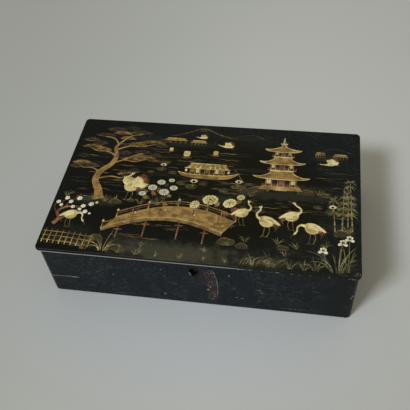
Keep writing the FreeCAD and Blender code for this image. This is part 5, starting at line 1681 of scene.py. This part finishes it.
patch("earth", ((116.0, -68.7), (117.4, -68.1), (118.7, -68.6), (119.0, -69.6), (118.2, -70.9),
                (116.9, -70.9), (116.1, -70.0)), -2, 2)
patch("hole", ((116.9, -69.2), (117.9, -68.9), (118.5, -69.5), (118.2, -70.3), (117.3, -70.3)), 0, 2)
patch("clay", ((118.7, -69.9), (119.1, -70.0), (118.9, -70.6), (118.5, -70.4)), 1, 2)
patch("oil", ((113.4, -71.0), (114.6, -70.2), (116.2, -70.6), (116.6, -71.5), (114.6, -71.8)), -2, 2)
line("oil", ((107.8, -66.0), (110.2, -66.4), (112.8, -67.7)), (0.1, 1.0, 0.2), -1)
line("oil", ((103.0, -71.3), (107.5, -71.6), (111.8, -71.5)), (0.1, 0.6, 0.1), -1)
line("soot", ((104.0, -68.6), (108.5, -69.2), (113.0, -69.0)), (0.1, 0.7, 0.1), -1)
lay("corner_marks", bared_coats_and_pit_shade, LID_PLANE, "lid")

CASE_ROUNDING = 4.0 * MM
LID_ROUNDING = 3.5 * MM


def round_the_corner(name, end, radius):
    """Moves the parts of the marks past the flat of a face back on to the board's rounded corner."""
    for piece in drawn_pieces:
        for vertex in piece.data.vertices if piece.name.startswith(name) else ():
            past = abs(vertex.co.x) - (end - radius)
            if past > 0:
                vertex.co.y += radius - math.sqrt(radius ** 2 - min(past, radius * 0.98) ** 2)


round_the_corner("front_marks", CASE_HALF_LONG, CASE_ROUNDING)
round_the_corner("edge_marks", LID_HIGH.x, LID_ROUNDING)

# %% [markdown]
# The things inside are small and handled often, so they carry the maker's best small work. A
# water dropper is painted in cobalt blue under its glaze, and an ink stick is pressed in a carved
# mould, with a raised rim round a gilt sprig. Both are the plum branch of the lid again, drawn on
# another plane: the same few patches and lines, in another size and finish.

# %% Sprigs on the water dropper and the ink stick
def top_plane(node, height=0.0):
    """Drawings on top of a node: x to the right and y to the back from its middle."""
    low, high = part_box(node)
    return Matrix.Translation(((low.x + high.x) / 2, (low.y + high.y) / 2, high.z + height)) @ MILLIMETRES


SPRIG_TWIGS = (
    (((13, -15), (9.5, -9), (10, -2), (5.5, 4.5), (-2, 8), (-8, 14)), (1.7, 1.3, 1.1, 0.9, 0.6, 0.3), 5),
    (((10, -4), (13, 1), (13.5, 7)), (0.7, 0.5, 0.2), 4),
    (((4, 5.4), (5, 10), (9, 14.5)), (0.7, 0.5, 0.2), 4),
    (((-2, 8), (-8, 7), (-13.5, 9)), (0.6, 0.4, 0.15), 4),
    (((9.6, -8), (4, -8.5), (-1, -12)), (0.8, 0.5, 0.2), 4),
)
SPRIG_BLOSSOMS = (
    (7.5, 2.5, 2.6), (-5.5, 10.5, 2.2), (3.2, -8.6, 2.3), (12.6, 6.0, 1.8), (7.6, 12.5, 1.7),
    (-12, 8.5, 1.4), (-2.5, -12.5, 1.3),
)


@drawing
def plum_sprig(branch, petals):
    """A twig in one tone, with all of its blossoms in another."""
    for points, widths, steps in SPRIG_TWIGS:
        line(branch, points, widths, 0, steps)
    for x, y, radius in SPRIG_BLOSSOMS:
        put([(petals, *mark[1:]) for mark in blossom(radius)], x, y, 1.0, 17 * x, level=1)


def cobalt_finish(name, pale, deep):
    washed = clouding(begin(name, Coat_Weight=0.6, Coat_Roughness=0.08), 420.0, 0.35, 0.62)
    return complete(blend(washed, pale, deep), ramp(washed, 0.0, 1.0, 0.16, 0.24))


inner_tones = {
    "cobalt": cobalt_finish("deep_cobalt", (0.030, 0.055, 0.20, 1.0), (0.012, 0.022, 0.10, 1.0)),
    "wash": cobalt_finish("washed_cobalt", (0.13, 0.20, 0.42, 1.0), (0.055, 0.10, 0.30, 1.0)),
    "pressed": ink, "gilt": gold["straw"], "worn": gold["olive"],
}
put(plum_sprig("cobalt", "wash"))
lay("dropper_sprig", inner_tones, top_plane("water_dropper", -0.04 * MM), "case")

RIM_INSET = 1.7
stick_low, stick_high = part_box("ink_stick")
for inset, wide in ((0.0, 1.0), (1.6, 0.45)):
    right, top = ((span / MM) / 2 - RIM_INSET - inset for span in (stick_high - stick_low).xy)
    corners = [(-right, -top), (right, -top), (right, top), (-right, top), (-right, -top)]
    for side in zip(corners, corners[1:]):
        line("pressed", side, wide, 1)
put(plum_sprig("worn", "gilt"), -1.0, -1.5, 0.34, 52, level=1)
put(plum_sprig("worn", "gilt"), -24.0, 0.0, 0.26, 62, level=1)
for x, y in ((16, 1.5), (20, -1.5), (24.5, 1.2), (29, -0.6)):
    line("worn", [(x - 2.4, y), (x - 0.8, y + 0.7), (x + 0.8, y - 0.2), (x + 2.4, y + 0.4)],
         [0.1, 0.45, 0.45, 0.1], 1)
lay("ink_relief", inner_tones, top_plane("ink_stick"), "case")

# %% [markdown]
# A brush tip is a bundle of hair, full in the belly and drawn to a point, with a darker end where
# ink has dried. A turned shape alone looks like plastic. So the body of the bundle is extruded
# ring by ring along the brush, and about a hundred fine tapered hairs are laid over it and run
# past its point. The two are joined, and the result stands for the plain tip of the frame.

# %% Brush tips of hair
TIP_PROFILE = (
    # share of the length, radius as a part of the widest
    (0.0, 0.80), (0.08, 0.90), (0.22, 1.0), (0.42, 0.95), (0.62, 0.74), (0.80, 0.45), (0.92, 0.19),
    (0.985, 0.03),
)
TIP_STEPS = list(zip(TIP_PROFILE, TIP_PROFILE[1:]))
TIP_SIDES = 20
HAIR_COUNT = 110
HAIR_WIDTH = 0.20 * MM
HAIR_STEPS = 7
GOLDEN_ANGLE = 2.39996


def tip_radius(share):
    """The bundle's radius at a share of its length, as a part of the widest."""
    for (t0, r0), (t1, r1) in TIP_STEPS:
        if share <= t1:
            return r0 + (r1 - r0) * (share - t0) / (t1 - t0)
    return TIP_PROFILE[-1][1]


def choose(active, *others):
    """Deselects everything and selects these, with the first as the active one."""
    bpy.ops.object.select_all(action="DESELECT")
    for one in (active, *others):
        one.select_set(True)
    bpy.context.view_layer.objects.active = active


def bundle(low, middle, length, widest):
    """The smooth body of a tip, extruded ring by ring from x low."""
    bpy.ops.object.select_all(action="DESELECT")
    bpy.ops.mesh.primitive_circle_add(
        vertices=TIP_SIDES, radius=widest * TIP_PROFILE[0][1], fill_type="NOTHING",
        location=(low, middle.y, middle.z), rotation=(0, math.pi / 2, 0),
    )
    bpy.ops.object.transform_apply(location=True, rotation=True, scale=True)
    bpy.ops.object.mode_set(mode="EDIT")
    bpy.ops.mesh.select_all(action="SELECT")
    for (t0, r0), (t1, r1) in TIP_STEPS:
        bpy.ops.mesh.extrude_region_move(TRANSFORM_OT_translate={"value": ((t1 - t0) * length, 0, 0)})
        bpy.ops.transform.resize(value=(1, r1 / r0, r1 / r0),
                                 center_override=(low + t1 * length, middle.y, middle.z))
    bpy.ops.mesh.select_all(action="SELECT")
    bpy.ops.mesh.fill_holes(sides=0)
    bpy.ops.mesh.normals_make_consistent(inside=False)
    bpy.ops.object.mode_set(mode="OBJECT")
    bpy.ops.object.shade_smooth()
    return bpy.context.object


def hair_tip(node):
    low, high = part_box(node)
    middle, length = (low + high) / 2, high.x - low.x
    widest = (high.y - low.y) / 2 - HAIR_WIDTH * 0.6
    body = bundle(low.x, middle, length, widest)
    hairs = bpy.data.curves.new(node + "_hairs", "CURVE")
    hairs.dimensions, hairs.use_fill_caps = "3D", True
    hairs.bevel_depth, hairs.bevel_resolution = HAIR_WIDTH / 2, 0
    for i in range(HAIR_COUNT):
        stray, start, end = between(0.97, 1.06), between(0.0, 0.25), between(0.86, 1.0)
        spline = hairs.splines.new("POLY")
        spline.points.add(HAIR_STEPS)
        for k, point in enumerate(spline.points):
            share = start + (end - start) * k / HAIR_STEPS
            angle = i * GOLDEN_ANGLE + 0.12 * math.sin(3 * share + i)
            dy, dz = polar(angle, widest * tip_radius(share) * stray)
            point.co = (low.x + share * length, middle.y + dy, middle.z + dz, 1.0)
            point.radius = 1.0 if k < HAIR_STEPS else 0.2
    strands = link(hairs.name, hairs)
    choose(strands)
    bpy.ops.object.convert(target="MESH")
    choose(body, strands)
    bpy.ops.object.join()
    body.name = node + "_hair"
    body.data.materials.clear()
    body.data.materials.append(hair)
    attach(body, "case")
    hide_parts(node)
    print(body.name, "has", len(body.data.polygons), "faces and is", round(length / MM, 1), "mm long")


hair_tip("brush_tip_large")
hair_tip("brush_tip_small")


# %% [markdown]
# The last cell compares the size of the dressed model with the frame it started from. The raised
# picture can add a few tenths of a millimetre to the lid, and nothing else is meant to stand out.

visual_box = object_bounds()
grown = (visual_box[1] - visual_box[0]) - (frame_box[1] - frame_box[0])
print("the finish adds", [round(value / MM, 2) for value in grown], "mm to the box")
